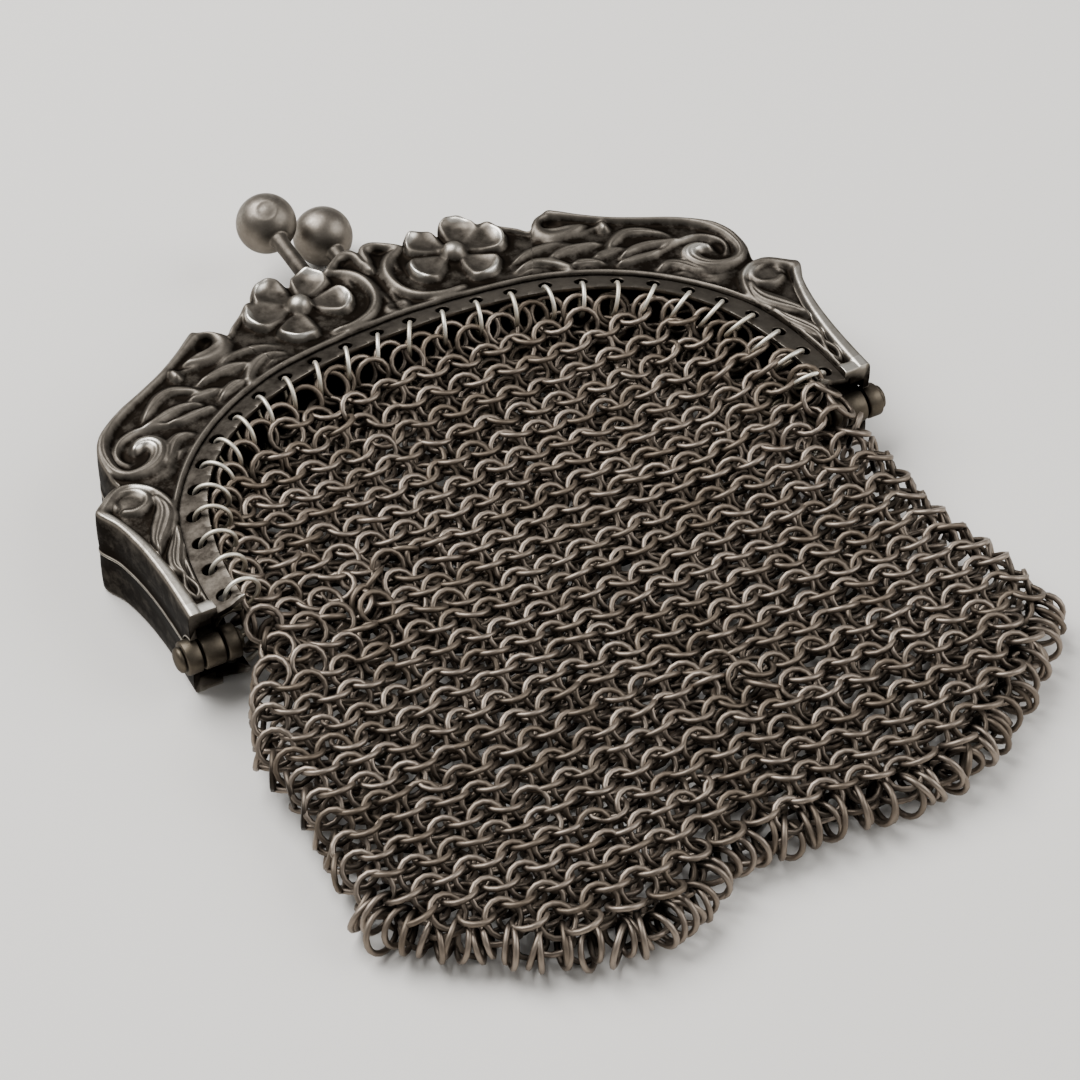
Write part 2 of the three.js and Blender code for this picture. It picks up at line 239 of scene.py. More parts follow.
def drawn_wire(name, painted_shade, brown, grey):
    """To the eye: satin wire between brown and grey by tint and small stains, painted shade where depth is
    low.
    """
    material, tree, shader = new_material(name)
    place = add_node(tree, "TexCoord").outputs["Object"]
    tint = add_node(tree, "Attribute", attribute_name="tint").outputs["Fac"]
    depth = add_node(tree, "Attribute", attribute_name="depth").outputs["Fac"]
    stain = add_node(tree, "TexNoise", {"Vector": place, "Scale": per_mm(WIRE_STAIN_MM), "Detail": 3.0})
    share = add_node(tree, "Math", {0: stain.outputs[0], 1: 0.6, 2: tint},
                     operation="MULTIPLY_ADD").outputs[0]
    toned = add_node(tree, "MapRange", {"Value": share, "From Min": 0.2, "From Max": 1.1})
    wire = add_node(tree, "Mix", {0: toned.outputs[0], 6: linear(brown), 7: linear(grey)}, data_type="RGBA")
    # Painted shade: where depth is low, on the side of a link that faces into the mail, the wire takes the
    # painted shade colour.
    unshaded_share = add_node(tree, "MapRange", {"Value": depth, "From Min": -0.65, "From Max": 0.5})
    colour = add_node(tree, "Mix", {0: unshaded_share.outputs[0], 6: linear(painted_shade), 7: wire.outputs[2]},
                      data_type="RGBA")
    gloss = add_node(tree, "MapRange", {"Value": share, "From Min": 0.2, "From Max": 1.1, "To Min": 0.56,
                                        "To Max": 0.46})
    tree.links.new(colour.outputs[2], shader.inputs["Base Color"])
    tree.links.new(gloss.outputs[0], shader.inputs["Roughness"])
    shader.inputs["Metallic"].default_value = 1.0
    return material


# The first colour of each wire is painted shade for the side of a link that faces into the mail.
mail_wire = drawn_wire("drawn_tarnished_silver_wire", "#1d1915", "#685d51", "#8e8276")
bright_wire = drawn_wire("drawn_polished_silver_wire", "#8f8675", "#d3cab8", "#ece6d8")
print("materials:", mail_wire.name, bright_wire.name)

# %% [markdown]
# The floor is matt painted board. A faint grain keeps it from looking like empty space.

# %% Floor material
FLOOR_COLOUR = "#dcd9d4"
FLOOR_GRAIN_MM = 3.0
pale, pale_tree, pale_shader = new_material("pale_matt_board")
pale_place = add_node(pale_tree, "TexCoord").outputs["Object"]
grain = add_node(pale_tree, "TexNoise", {"Vector": pale_place, "Scale": per_mm(FLOOR_GRAIN_MM)})
pale_bump = add_node(pale_tree, "Bump", {"Height": grain.outputs[0], "Strength": 0.03, "Distance": MM})
pale_tree.links.new(pale_bump.outputs[0], pale_shader.inputs["Normal"])
pale_shader.inputs["Base Color"].default_value = linear(FLOOR_COLOUR)
pale_shader.inputs["Roughness"].default_value = 0.7
floor.data.materials.append(pale)
print("floor colour", FLOOR_COLOUR)

# %% [markdown]
# Meshes come from whole arrays: a grid of points, its quads, and a number for each point where a material
# needs one. A Python loop over the points would be slow with half a million of them.

# %% Mesh helpers
MERGE_MM = 0.001


def grid_quads(rows, columns, close_rows=False, close_columns=False):
    """Corner numbers of the quads of a grid whose points are counted row by row."""
    row = np.arange(rows if close_rows else rows - 1)[:, None]
    column = np.arange(columns if close_columns else columns - 1)[None, :]
    next_row = (row + 1) % rows
    next_column = (column + 1) % columns
    quads = [row * columns + column, row * columns + next_column,
             next_row * columns + next_column, next_row * columns + column]
    return np.stack(np.broadcast_arrays(*quads), axis=-1).reshape(-1, 4)


def tube_faces(rows, sides):
    """Quads of a closed section carried over rows, and a cap at each of its two ends."""
    first = list(range(sides))
    last = [(rows - 1) * sides + side for side in first]
    return grid_quads(rows, sides, close_columns=True).tolist() + [first[::-1], last]


def merge_points(mesh):
    """Joins points that lie at the same place, where cells meet."""
    work = bmesh.new()
    work.from_mesh(mesh)
    bmesh.ops.remove_doubles(work, verts=work.verts, dist=MERGE_MM * MM)
    work.to_mesh(mesh)
    work.free()


def make_piece(name, points, faces, material, marks=None, replaced=(), sharp=None, merge=False):
    """Puts points in millimetres, from the purse's own point, into a smooth mesh that rides on the purse."""
    mesh = bpy.data.meshes.new(name)
    mesh.from_pydata(((points + ORIGIN) * MM).tolist(), [], [list(face) for face in faces])
    for mark, values in (marks or {}).items():
        layer = mesh.attributes.new(mark, "FLOAT", "POINT")
        layer.data.foreach_set("value", np.ravel(values).astype(np.float32))
    if merge:
        merge_points(mesh)
    mesh.shade_smooth()
    if sharp:
        mesh.set_sharp_from_angle(angle=math.radians(sharp))
    mesh.materials.append(material)
    piece = bpy.data.objects.new(name, mesh)
    bpy.context.collection.objects.link(piece)
    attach(piece, "root")
    if replaced:
        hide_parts(*replaced)
    triangles = sum(len(face) - 2 for face in faces)
    print(name, "points", len(points), "triangles", triangles)
    return piece


print("a grid of 3 by 4 points has", len(grid_quads(3, 4)), "quads")

# %% [markdown]
# Curves. Outlines and strokes are given by a few listed points, and a smooth curve is led through them.
# Blender's own curves could do that, but here the points are needed as an array for more arithmetic.


# %% Curve helpers
def unit(vectors):
    """Vectors scaled to length one."""
    return vectors / np.linalg.norm(vectors, axis=-1, keepdims=True)


def ease(value, start, end):
    """Smooth step from 0 at start to 1 at end."""
    t = np.clip((value - start) / (end - start), 0, 1)
    return t * t * (3 - 2 * t)


def spline(points, steps):
    """Catmull-Rom curve: each stretch is the cubic whose end slopes are half the chord of its neighbours."""
    points = np.asarray(points, dtype=float)
    padded = np.vstack([2 * points[0] - points[1], points, 2 * points[-1] - points[-2]])
    t = np.linspace(0, 1, steps, endpoint=False)[None, :, None]
    before, start, end, after = (padded[k:len(padded) - 3 + k][:, None, :] for k in range(4))
    slope_in = (end - before) / 2
    slope_out = (after - start) / 2
    curve = (start + slope_in * t + (3 * (end - start) - 2 * slope_in - slope_out) * t ** 2
             + (2 * (start - end) + slope_in + slope_out) * t ** 3)
    return np.vstack([curve.reshape(-1, points.shape[1]), points[-1:]])


print("a curve through 3 points in 4 steps has", len(spline([(0, 0), (1, 1), (2, 0)], 4)), "points")

# %% [markdown]
# The arch of the frame. Its outer outline, right half, is a list of points from the end by the hinge to the
# middle of the top: straight rim, pointed corner, two scrolls, a folded leaf, flower petals and small leaves.
# Border and lip, the face's inner edge and the flange's inner edge, are smooth and given by their distance
# from the purse's point at a few angles. All three become functions of the angle, so that each later surface
# can be carried round the arch by its angle alone.

# %% Outlines of the frame
RIM_POINTS = [
    (30.2, 0.2), (30.15, 3.0), (30.2, 6.0), (30.45, 9.0), (31.0, 11.8), (31.85, 13.9), (30.9, 15.0),
    (29.9, 15.8), (29.0, 16.35), (29.15, 17.5), (29.2, 18.8), (29.0, 20.2), (28.3, 21.7), (27.1, 22.9),
    (25.4, 24.1), (23.0, 25.4), (20.6, 26.8), (18.5, 28.3), (17.2, 29.4), (16.4, 29.95), (15.4, 29.7),
    (14.6, 29.0), (14.1, 28.4), (13.2, 29.2), (12.0, 30.2), (10.7, 31.2), (10.2, 32.0), (9.6, 32.6),
    (8.5, 32.95), (7.5, 32.5), (6.9, 31.6), (6.3, 32.3), (5.2, 32.65), (4.2, 32.45), (3.6, 31.8),
    (2.6, 32.5), (1.5, 33.2), (0.6, 33.2), (0.0, 32.7)]
BORDER = dict(deg=[0.4, 11.3, 23.0, 30.0, 37.5, 44.4, 50.4, 55.8, 61.4, 68.3, 75.0, 83.0, 90.0],
              mm=[27.9, 28.1, 28.4, 28.2, 27.8, 27.3, 26.8, 26.3, 25.8, 25.05, 24.5, 24.15, 24.1])
LIP = dict(deg=[0.4, 9.0, 18.0, 28.0, 38.0, 49.0, 64.5, 78.0, 90.0],
           mm=[25.5, 25.7, 25.9, 26.1, 25.8, 24.9, 23.25, 22.3, 21.95])
CURVE_STEPS = 12
FIRST_DEG = 0.4


def polar_table(x, y):
    """Angle in degrees and distance of points, sorted by angle."""
    angle = np.degrees(np.arctan2(y, x))
    order = np.argsort(angle)
    return angle[order], np.hypot(x, y)[order]


rim_path = spline(RIM_POINTS, CURVE_STEPS)
RIM_TABLE = polar_table(rim_path[:, 0], rim_path[:, 1])
BORDER_TABLE = tuple(spline(np.column_stack([BORDER["deg"], BORDER["mm"]]), CURVE_STEPS).T)
LIP_TABLE = tuple(spline(np.column_stack([LIP["deg"], LIP["mm"]]), CURVE_STEPS).T)


def distance_at(table, deg):
    """Distance of an outline at angles from 0 to 180 degrees; the left half mirrors the right one."""
    return np.interp(np.minimum(deg, 180 - deg), table[0], table[1])


def on_ray(deg, distance):
    """x and y of points at an angle and a distance."""
    angle = np.radians(deg)
    return distance * np.cos(angle), distance * np.sin(angle)


print("rim from", RIM_TABLE[1].min().round(1), "to", RIM_TABLE[1].max().round(1), "mm from the middle")

# %% [markdown]
# The relief is a height for every point of the face, right half, mirrored for the left. It is drawn like the
# die was cut: strokes along short curves, each with its widths from start to end, a top level and a section.
# A round section is (1 - q^2)^0.75, where q is the distance from the curve over half the width; a flat one is
# (1 - q^5)^0.75. Where strokes overlap the higher one wins. A grey-scale image could give the same heights,
# but strokes stay sharp at any size and each can be changed by its name.

# %% Strokes of the relief
GROUND = -0.62
SECTIONS = dict(round=2, flat=5)
STROKES = [
    # name, points, widths from start to end, top, section, fine lines on each side of the middle
    ("rim over the leaves", [(16.4, 29.5), (18.4, 28.05), (20.5, 26.65), (22.7, 25.35), (25.0, 24.05),
     (26.6, 22.95), (27.7, 21.8)], (0.65, 0.75, 0.85), -0.02, "round", 0),
    ("rim round the scroll", [(26.6, 22.95), (27.7, 21.8), (28.45, 20.3), (28.65, 18.9), (28.5, 17.75),
     (27.9, 17.0), (26.9, 16.8), (25.7, 17.05), (24.75, 17.8), (24.35, 18.8), (24.75, 19.6),
     (25.55, 19.7), (26.2, 19.3)], (0.85, 1.0, 1.1, 1.0, 0.9, 1.0, 1.3, 1.6, 1.7, 1.4, 0.6), 0.02,
     "round", 2),
    ("arch in the scroll", [(22.8, 20.9), (24.2, 21.25), (25.6, 21.25), (26.8, 20.75), (27.55, 19.85),
     (27.7, 18.9), (27.2, 18.1)], (0.5, 0.6, 0.5, 0.3), -0.2, "round", 0),
    ("folded leaf", [(16.4, 29.45), (15.4, 29.15), (14.8, 28.5), (14.65, 27.6), (15.15, 26.8),
     (16.3, 26.5), (17.6, 26.6), (18.5, 26.8)], (0.55, 0.6, 0.9, 1.3, 1.5, 1.3, 0.8, 0.3), -0.05,
     "round", 0),
    ("edge of the folded leaf", [(14.95, 28.4), (15.3, 27.75), (16.2, 27.3), (17.4, 27.1), (18.6, 26.75)],
     (0.3, 0.45, 0.5, 0.3), 0.0, "round", 0),
    ("stem of the bead", [(19.5, 26.1), (18.5, 26.1), (17.2, 25.9), (15.6, 25.65)], (0.4, 0.4, 0.2),
     -0.25, "round", 0),
    ("bead", [(19.72, 25.6), (19.82, 26.15)], (0.85, 0.75), 0.02, "round", 0),
    ("long leaf", [(13.6, 24.25), (15.2, 24.6), (16.6, 24.5), (18.9, 24.0)], (0.2, 1.1, 1.4, 0.9, 0.1),
     -0.08, "round", 2),
    ("middle leaf", [(16.9, 22.6), (18.4, 22.8), (20.3, 22.6)], (0.2, 1.0, 0.9, 0.1), -0.2, "round", 1),
    ("short leaf", [(14.9, 22.7), (16.2, 22.5), (17.7, 21.6)], (0.2, 1.2, 1.1, 0.2), -0.1, "round", 2),
    ("crescent leaf", [(10.7, 24.3), (12.4, 24.55), (13.7, 23.95), (14.6, 22.8), (14.85, 22.0)],
     (0.3, 0.8, 1.0, 0.8, 0.2), -0.08, "round", 1),
    ("line under the crescent", [(10.6, 23.8), (12.0, 23.8), (13.4, 23.1)], (0.2, 0.5, 0.2), -0.3,
     "round", 0),
    ("upper leaf", [(10.6, 25.2), (12.6, 25.9), (14.4, 25.9), (16.4, 25.3)], (0.2, 0.8, 0.8, 0.2), -0.2,
     "round", 1),
    ("arched leaf", [(18.6, 22.9), (19.6, 23.8), (20.9, 24.35), (22.2, 23.95), (23.4, 22.95),
     (24.3, 22.0)], (0.3, 0.9, 1.1, 1.1, 0.7, 0.2), -0.15, "round", 2),
    ("leaf into the scroll", [(19.2, 21.7), (20.6, 22.05), (22.0, 21.95), (23.4, 21.55), (24.8, 21.25)],
     (0.3, 1.0, 1.1, 0.8, 0.3), -0.04, "round", 2),
    ("leaf below it", [(18.7, 20.95), (20.2, 20.9), (21.6, 20.75), (23.0, 20.9)], (0.5, 0.9, 0.8, 0.2),
     -0.06, "round", 1),
    ("fan leaf", [(21.2, 18.9), (22.3, 19.15), (23.2, 18.6), (23.9, 17.6), (24.6, 16.6)],
     (0.3, 1.0, 1.3, 1.1, 0.3), -0.18, "round", 2),
    ("line by the fan leaf", [(22.0, 17.9), (22.9, 17.5), (23.5, 16.8)], (0.2, 0.5, 0.2), -0.32,
     "round", 0),
    ("fan line one", [(24.0, 17.5), (24.75, 16.65), (25.75, 16.25), (26.9, 16.2)], (0.2, 0.4, 0.4, 0.2),
     -0.22, "round", 0),
    ("fan line two", [(23.85, 17.0), (24.65, 16.15), (25.75, 15.75), (27.0, 15.8)], (0.2, 0.4, 0.4, 0.2),
     -0.28, "round", 0),
    ("fan line three", [(23.8, 16.3), (24.9, 15.55), (26.5, 15.3)], (0.2, 0.4, 0.2), -0.36, "round", 0),
    ("top of the lower scroll", [(31.4, 13.75), (30.6, 14.55), (29.7, 15.3), (28.75, 15.65), (27.8, 15.4),
     (26.95, 14.65), (26.35, 13.5), (26.15, 12.3), (26.45, 11.1)],
     (1.0, 0.8, 0.75, 0.7, 0.65, 0.55, 0.45, 0.2), -0.03, "round", 0),
    ("ring of the lower scroll", [(30.1, 13.8), (29.95, 14.7), (29.0, 15.15), (27.95, 14.85),
     (27.5, 14.0), (27.9, 13.15), (28.9, 12.85), (29.8, 13.2)], (0.4, 0.4, 0.5, 0.65, 0.8, 0.8, 0.5),
     -0.06, "round", 0),
    ("eye of the lower scroll", [(28.5, 14.05), (29.1, 14.05)], (1.5, 1.5), -0.36, "flat", 0),
    ("first leaf of the end", [(27.0, 13.7), (26.75, 12.5), (27.0, 11.4), (27.8, 10.2), (28.6, 9.1),
     (29.15, 7.9)], (0.4, 1.3, 1.9, 1.9, 1.3, 0.3), 0.0, "round", 2),
    ("edge of the first leaf", [(29.05, 8.1), (28.5, 9.75), (27.6, 10.75), (26.9, 11.4)],
     (0.2, 0.4, 0.4, 0.2), -0.02, "round", 0),
    ("second leaf of the end", [(26.8, 9.8), (27.4, 8.3), (28.1, 7.0), (28.55, 5.8), (28.4, 4.5)],
     (0.4, 1.2, 1.5, 1.2, 0.3), 0.0, "round", 2),
    ("edge of the second leaf", [(28.85, 5.0), (28.75, 6.2), (28.2, 7.4)], (0.2, 0.45, 0.2), -0.04,
     "round", 0),
    ("loop of the end", [(28.5, 4.7), (28.95, 3.3), (28.6, 2.2), (28.1, 3.0), (28.4, 4.5)], (0.4, 0.4),
     -0.1, "round", 0),
    ("plate of the end", [(28.3, 0.3), (29.6, 0.3)], (2.1, 2.1), -0.06, "flat", 0),
    ("rim down to the end", [(31.45, 13.7), (30.9, 12.2), (30.25, 9.8), (29.85, 7.0), (29.65, 4.0),
     (29.6, 0.2)], (1.0, 1.05, 1.1, 1.1), 0.0, "flat", 0),
    ("round stem by the flower", [(3.4, 31.5), (2.25, 31.0), (1.45, 30.2), (1.0, 29.1), (0.95, 27.8),
     (1.25, 26.6), (1.95, 25.6), (3.0, 24.95), (4.5, 24.6), (6.0, 24.7)],
     (0.6, 0.8, 0.85, 0.8, 0.85, 0.85, 0.7, 0.4), -0.05, "round", 0),
    ("inner line of the stem", [(2.8, 30.8), (2.2, 29.9), (2.3, 28.8)], (0.15, 0.35, 0.15), -0.32,
     "round", 0),
    ("small leaf at the middle", [(0.3, 31.1), (0.4, 32.4), (1.1, 32.85), (2.0, 32.5), (2.9, 31.85),
     (3.6, 31.5)], (0.6, 0.75, 0.75, 0.6, 0.4), -0.05, "round", 0),
    ("lozenge at the middle", [(0.0, 31.2), (0.0, 29.7)], (0.2, 1.0, 0.9, 0.2), -0.1, "round", 0),
    ("stalk at the middle", [(0.35, 29.9), (0.5, 28.0), (0.3, 26.0)], (0.3, 0.45, 0.3), -0.4, "round", 0),
    ("curl at the middle", [(0.3, 25.5), (0.8, 25.45), (0.85, 24.95), (0.4, 24.8)], (0.4, 0.4), -0.3,
     "round", 0),
    ("rim by the flower", [(14.2, 28.15), (12.3, 29.7), (10.7, 31.0)], (0.6, 0.5, 0.5), -0.12,
     "round", 0),
]
print("strokes:", len(STROKES))

# %% [markdown]
# The height of a stroke follows from the distance to its curve. The curve is a chain of short straight
# pieces, and the nearest place is found for all points and all pieces at once. Wide leaves also carry fine
# cut lines.

# %% Height of a stroke
DOME_POWER = 0.75
LINE_DEPTH = 0.1
STROKE_SPREAD = 1.2
FULL_HALF_WIDTH = 0.3
STROKE_STEPS = 6
LINES_FROM_HALF_WIDTH, LINES_FADE = 0.4, 0.3


def nearest_on_path(x, y, path):
    """Distance from points to a broken line, and how far along it the nearest place is, from 0 to 1."""
    start, step = path[:-1], np.diff(path, axis=0)
    to_x = x[:, None] - start[None, :, 0]
    to_y = y[:, None] - start[None, :, 1]
    length_squared = (step ** 2).sum(axis=1)
    t = np.clip((to_x * step[:, 0] + to_y * step[:, 1]) / length_squared, 0, 1)
    away = np.hypot(to_x - t * step[:, 0], to_y - t * step[:, 1])
    best = away.argmin(axis=1)
    row = np.arange(len(x))
    along = (best + t[row, best]) / len(step)
    return away[row, best], along


def stroke_height(x, y, points, widths, top, section, lines):
    """Dome along a curve from the ground to top, lower where narrow, and the depth of its fine lines."""
    path = spline(points, STROKE_STEPS)
    reach = STROKE_SPREAD * max(widths)
    height, groove = np.full(x.shape, GROUND), np.zeros(x.shape)
    near = ((x > path[:, 0].min() - reach) & (x < path[:, 0].max() + reach)
            & (y > path[:, 1].min() - reach) & (y < path[:, 1].max() + reach))
    away, along = nearest_on_path(x[near], y[near], path)
    half_width = STROKE_SPREAD * np.interp(along, np.linspace(0, 1, len(widths)), widths) / 2
    share = np.clip(away / half_width, 0, 1)
    dome = (1 - share ** SECTIONS[section]) ** DOME_POWER * np.clip(half_width / FULL_HALF_WIDTH, 0, 1)
    height[near] = GROUND + (top - GROUND) * dome
    if lines:
        room = np.clip((half_width - LINES_FROM_HALF_WIDTH) / LINES_FADE, 0, 1)
        groove[near] = LINE_DEPTH * room * (0.5 + 0.5 * np.cos(2 * np.pi * lines * share)) * (share < 1)
    return height, groove


print("round stroke half-way out:", round((1 - 0.5 ** SECTIONS["round"]) ** DOME_POWER, 2), "of its height")

# %% [markdown]
# The flowers have five cupped petals round a boss. A petal is a fan, narrow at its foot, whose height stays
# low in the middle, rises to a rim that curls up towards the lobed tip, and then drops. It is worked out in
# the petal's own directions, out from the boss and across. Last, the fold of the leaf, the small leaf at the
# middle and the bend of the scroll are hollowed out.

# %% Flower and hollows
FLOWER = (7.15, 28.9)
PETALS = [(129, 4.25), (57, 4.1), (3, 4.7), (-63, 4.3), (196, 4.4)]  # direction in degrees, length
PETAL_FOOT = 0.8
PETAL_HALF_FOOT, PETAL_HALF, PETAL_WIDEST = 0.6, 1.68, 0.7
PETAL_FLOOR, PETAL_SIDE, PETAL_CURL = -0.38, -0.3, 0.68
PETAL_SQUARE, PETAL_LOBES = 2.7, 0.03
CUP_START, CUP_SPAN = 0.3, 0.62
PETAL_END, PETAL_TOP = 1.06, 0.94
BOSS_RADIUS, BOSS_TOP = 1.15, 0.5
HOLLOWS = [
    # x, y, radius along x, radius along y, turn in degrees, depth
    (16.0, 28.45, 0.95, 0.5, -38, 0.4),
    (1.65, 32.1, 0.5, 0.4, -30, 0.3),
    (27.1, 19.0, 0.5, 0.8, 0, 0.2)]


def turned(x, y, centre, degrees):
    """Coordinates along and across a direction, from a centre."""
    angle = math.radians(degrees)
    dx, dy = x - centre[0], y - centre[1]
    return dx * math.cos(angle) + dy * math.sin(angle), dy * math.cos(angle) - dx * math.sin(angle)


def petal_height(x, y, degrees, tip):
    """Fan by a size, (along^n + across^n)^(1/n), that is 1 on its outline: floor, curled rim, edge."""
    out, across = turned(x, y, FLOWER, degrees)
    share = (out - PETAL_FOOT) / (tip - PETAL_FOOT)
    half_width = PETAL_HALF_FOOT + (PETAL_HALF - PETAL_HALF_FOOT) * np.clip(share / PETAL_WIDEST, 0, 1)
    along = np.abs(2 * share - 1)
    side = np.abs(across) / half_width
    lobes = PETAL_LOBES * np.cos(2 * np.pi * side) * (share > 0.5)
    size = (along ** PETAL_SQUARE + side ** PETAL_SQUARE) ** (1 / PETAL_SQUARE) - lobes
    rim = PETAL_SIDE + PETAL_CURL * np.clip(share, 0, 1) ** 1.5
    rise = np.clip((size - CUP_START) / CUP_SPAN, 0, 1)
    cup = PETAL_FLOOR + (rim - PETAL_FLOOR) * rise ** 2
    return GROUND + (cup - GROUND) * ease(size, PETAL_END, PETAL_TOP)


def boss_height(x, y):
    """Half ball in the middle of the flower."""
    share = np.clip(np.hypot(x - FLOWER[0], y - FLOWER[1]) / BOSS_RADIUS, 0, 1)
    return GROUND + (BOSS_TOP - GROUND) * np.sqrt(1 - share ** 2)


def hollow_depth(x, y, centre_x, centre_y, radius_x, radius_y, degrees, depth):
    """Smooth oval dip: depth times (1 - q^4), where q is 1 on the oval."""
    along, across = turned(x, y, (centre_x, centre_y), degrees)
    share = np.clip((along / radius_x) ** 2 + (across / radius_y) ** 2, 0, 1)
    return depth * (1 - share ** 2)


print("flower of", len(PETALS), "petals; hollows", len(HOLLOWS))

# %% [markdown]
# The whole relief puts these together: a faintly waved ground, a ridge along the border, the strokes, the
# flower, and then the hollows taken away. The height is the highest of all that lies at a point.

# %% Relief
GROUND_WAVE, WAVE_ALONG_X, WAVE_ALONG_Y = 0.03, 2.3, 2.9
BORDER_RIDGE, RIDGE_HIGH = 0.5, 0.35


def relief_height(x, y, from_border):
    """Height of the face, 0 at the tops of the rims, and depth of the fine lines, on the right half."""
    height = GROUND + GROUND_WAVE * np.sin(WAVE_ALONG_X * x) * np.sin(WAVE_ALONG_Y * y)
    lines = np.zeros(x.shape)
    ridge = np.clip(from_border / BORDER_RIDGE, 0, 1)
    height = np.maximum(height, GROUND + RIDGE_HIGH * (1 - (2 * ridge - 1) ** 2))
    for _, points, widths, top, section, line_count in STROKES:
        stroke, groove = stroke_height(x, y, points, widths, top, section, line_count)
        lines = np.where(stroke > height, groove, lines)
        height = np.maximum(height, stroke)
    for degrees, tip in PETALS:
        height = np.maximum(height, petal_height(x, y, degrees, tip))
    height = np.maximum(height, boss_height(x, y))
    for hollow in HOLLOWS:
        height -= hollow_depth(x, y, *hollow)
    return height, lines


print("relief ground", GROUND, "mm, border ridge", BORDER_RIDGE, "mm wide")

# %% [markdown]
# The face is a grid of stations round the arch by places from the rim to the border. Equal steps along the
# band keep its quads even. Real relief is softened by years of polishing, so the heights are averaged a few
# times with their neighbours, and only then are the fine lines cut.

# %% Face of a half frame
HALF_STATIONS, ACROSS = 480, 80
EDGE_ROUND = 0.3
WORN_ROUNDS = 7
SAMPLES = 2000


def distances_along(x, y):
    """Distance of each point of a path from its start, along the path."""
    return np.concatenate([[0], np.cumsum(np.hypot(np.diff(x), np.diff(y)))])


def arch_degrees():
    """Angles of the stations, evenly spaced along the middle of the band, from one end to the other."""
    deg = np.linspace(FIRST_DEG, 90, SAMPLES)
    length = distances_along(*on_ray(deg, (distance_at(RIM_TABLE, deg) + distance_at(BORDER_TABLE, deg)) / 2))
    half = np.interp(np.linspace(0, length[-1], HALF_STATIONS), length, deg)
    return np.concatenate([half, 180 - half[-2::-1]])


def smoothed(values, rounds):
    """Average of each grid value, counted twice, with its four neighbours, repeated."""
    for _ in range(rounds):
        padded = np.pad(values, 1, mode="edge")
        values = (padded[:-2, 1:-1] + padded[2:, 1:-1] + padded[1:-1, :-2] + padded[1:-1, 2:]
                  + 2 * padded[1:-1, 1:-1]) / 6
    return values


def face_grid(deg):
    """Distance from the middle and relief height over the face, stations by places from rim to border."""
    rim = distance_at(RIM_TABLE, deg)[:, None]
    border = distance_at(BORDER_TABLE, deg)[:, None]
    share = np.linspace(1, 0, ACROSS)[None, :]
    distance = border + (rim - EDGE_ROUND - border) * share
    x, y = on_ray(deg[:, None], distance)
    height, lines = relief_height(np.abs(x).ravel(), y.ravel(), (distance - border).ravel())
    height, lines = height.reshape(distance.shape), lines.reshape(distance.shape)
    return distance, smoothed(height, WORN_ROUNDS) - smoothed(lines, 1)


ARCH_DEG = arch_degrees()
FACE_DISTANCE, FACE_HEIGHT = face_grid(ARCH_DEG)
print("face grid", FACE_HEIGHT.shape, "height", FACE_HEIGHT.min().round(2), "to", FACE_HEIGHT.max().round(2))

# %% [markdown]
# Wear is worked out from the relief itself. Hands and pockets rub what stands out from its surroundings, so
# wear is the height plus its difference from a much smoother copy of it. A few places are rubbed more: the
# curl of each scroll, the tips of the petals, the border ridge, and the flat band and plate at each end.

# %% Wear of the face
WEAR_LEVEL, WEAR_PER_MM, WEAR_STANDING = 0.39, 0.30, 0.70
SURROUNDINGS_ROUNDS = 90
RIDGE_RUB = 0.2
RUBBED = [(24.9, 20.0, 1.5, 1.1), (27.5, 15.0, 1.0, 0.9), (31.3, 15.6, 1.1, 0.8)]  # x, y, reach, extra
PETAL_TIP_AT, PETAL_TIP_REACH, PETAL_TIP_RUB = 0.92, 0.85, 1.0
BAND_WIDTH, BAND_SOFT, BAND_END_DEG, BAND_FADE_DEG, BAND_WEAR = 1.25, 0.15, 24.5, 1.5, 0.71
PLATE_END_DEG, PLATE_WEAR = 2.8, 0.9


def petal_tip(degrees, tip):
    """The rubbed spot near the tip of a petal, in the form of RUBBED."""
    x, y = on_ray(degrees, PETAL_TIP_AT * tip)
    return FLOWER[0] + x, FLOWER[1] + y, PETAL_TIP_REACH, PETAL_TIP_RUB


def face_wear(deg, distance, height):
    """Height and standing out, times 1 + extra exp(-q^4) at a rubbed spot, where q is distance over reach."""
    standing = height - smoothed(height, SURROUNDINGS_ROUNDS)
    wear = WEAR_LEVEL + WEAR_PER_MM * height + WEAR_STANDING * standing
    from_border = distance - distance_at(BORDER_TABLE, deg)[:, None]
    wear = wear + RIDGE_RUB * np.clip(1 - np.abs(2 * from_border / BORDER_RIDGE - 1), 0, 1)
    x, y = on_ray(deg[:, None], distance)
    for spot_x, spot_y, reach, extra in RUBBED + [petal_tip(*petal) for petal in PETALS]:
        away = ((np.abs(x) - spot_x) ** 2 + (y - spot_y) ** 2) / reach ** 2
        wear = wear * (1 + extra * np.exp(-away ** 2))
    from_rim = distance_at(RIM_TABLE, deg)[:, None] - distance
    end = np.minimum(deg, 180 - deg)[:, None]
    by_rim = np.clip((BAND_WIDTH - from_rim) / BAND_SOFT, 0, 1)
    band = by_rim * np.clip((BAND_END_DEG - end) / BAND_FADE_DEG, 0, 1)
    flat_wear = np.maximum(BAND_WEAR * band, PLATE_WEAR * (end < PLATE_END_DEG))
    return np.clip(np.maximum(wear, flat_wear), 0, 1)


FACE_WEAR = face_wear(ARCH_DEG, FACE_DISTANCE, FACE_HEIGHT)
print("wear of the face, mean", FACE_WEAR.mean().round(2))

# %% [markdown]
# Each half frame is one thin stamped shell. A section runs up the side wall, over the relief, down the step
# at the border and back along the inside, and is carried round the arch on rays from the purse's point. A
# displaced plane would give the face, but not the wall and the fold between them. By the hinges the wall is
# cut away round the knuckles. The back half is the same shell turned over, worn flat where the purse lies.

# %% Shell of a half frame
SHEET = 0.5
FLANGE_DROP = 0.8
INSIDE_DROP = 1.6
SEAM_GAP = 0.08
LIP_OUT, LIP_HIGH = 0.07, 0.1
KNUCKLE_ROOM = 1.6
FRONT_HIGHEST, BACK_HIGHEST = 1.0, 0.0


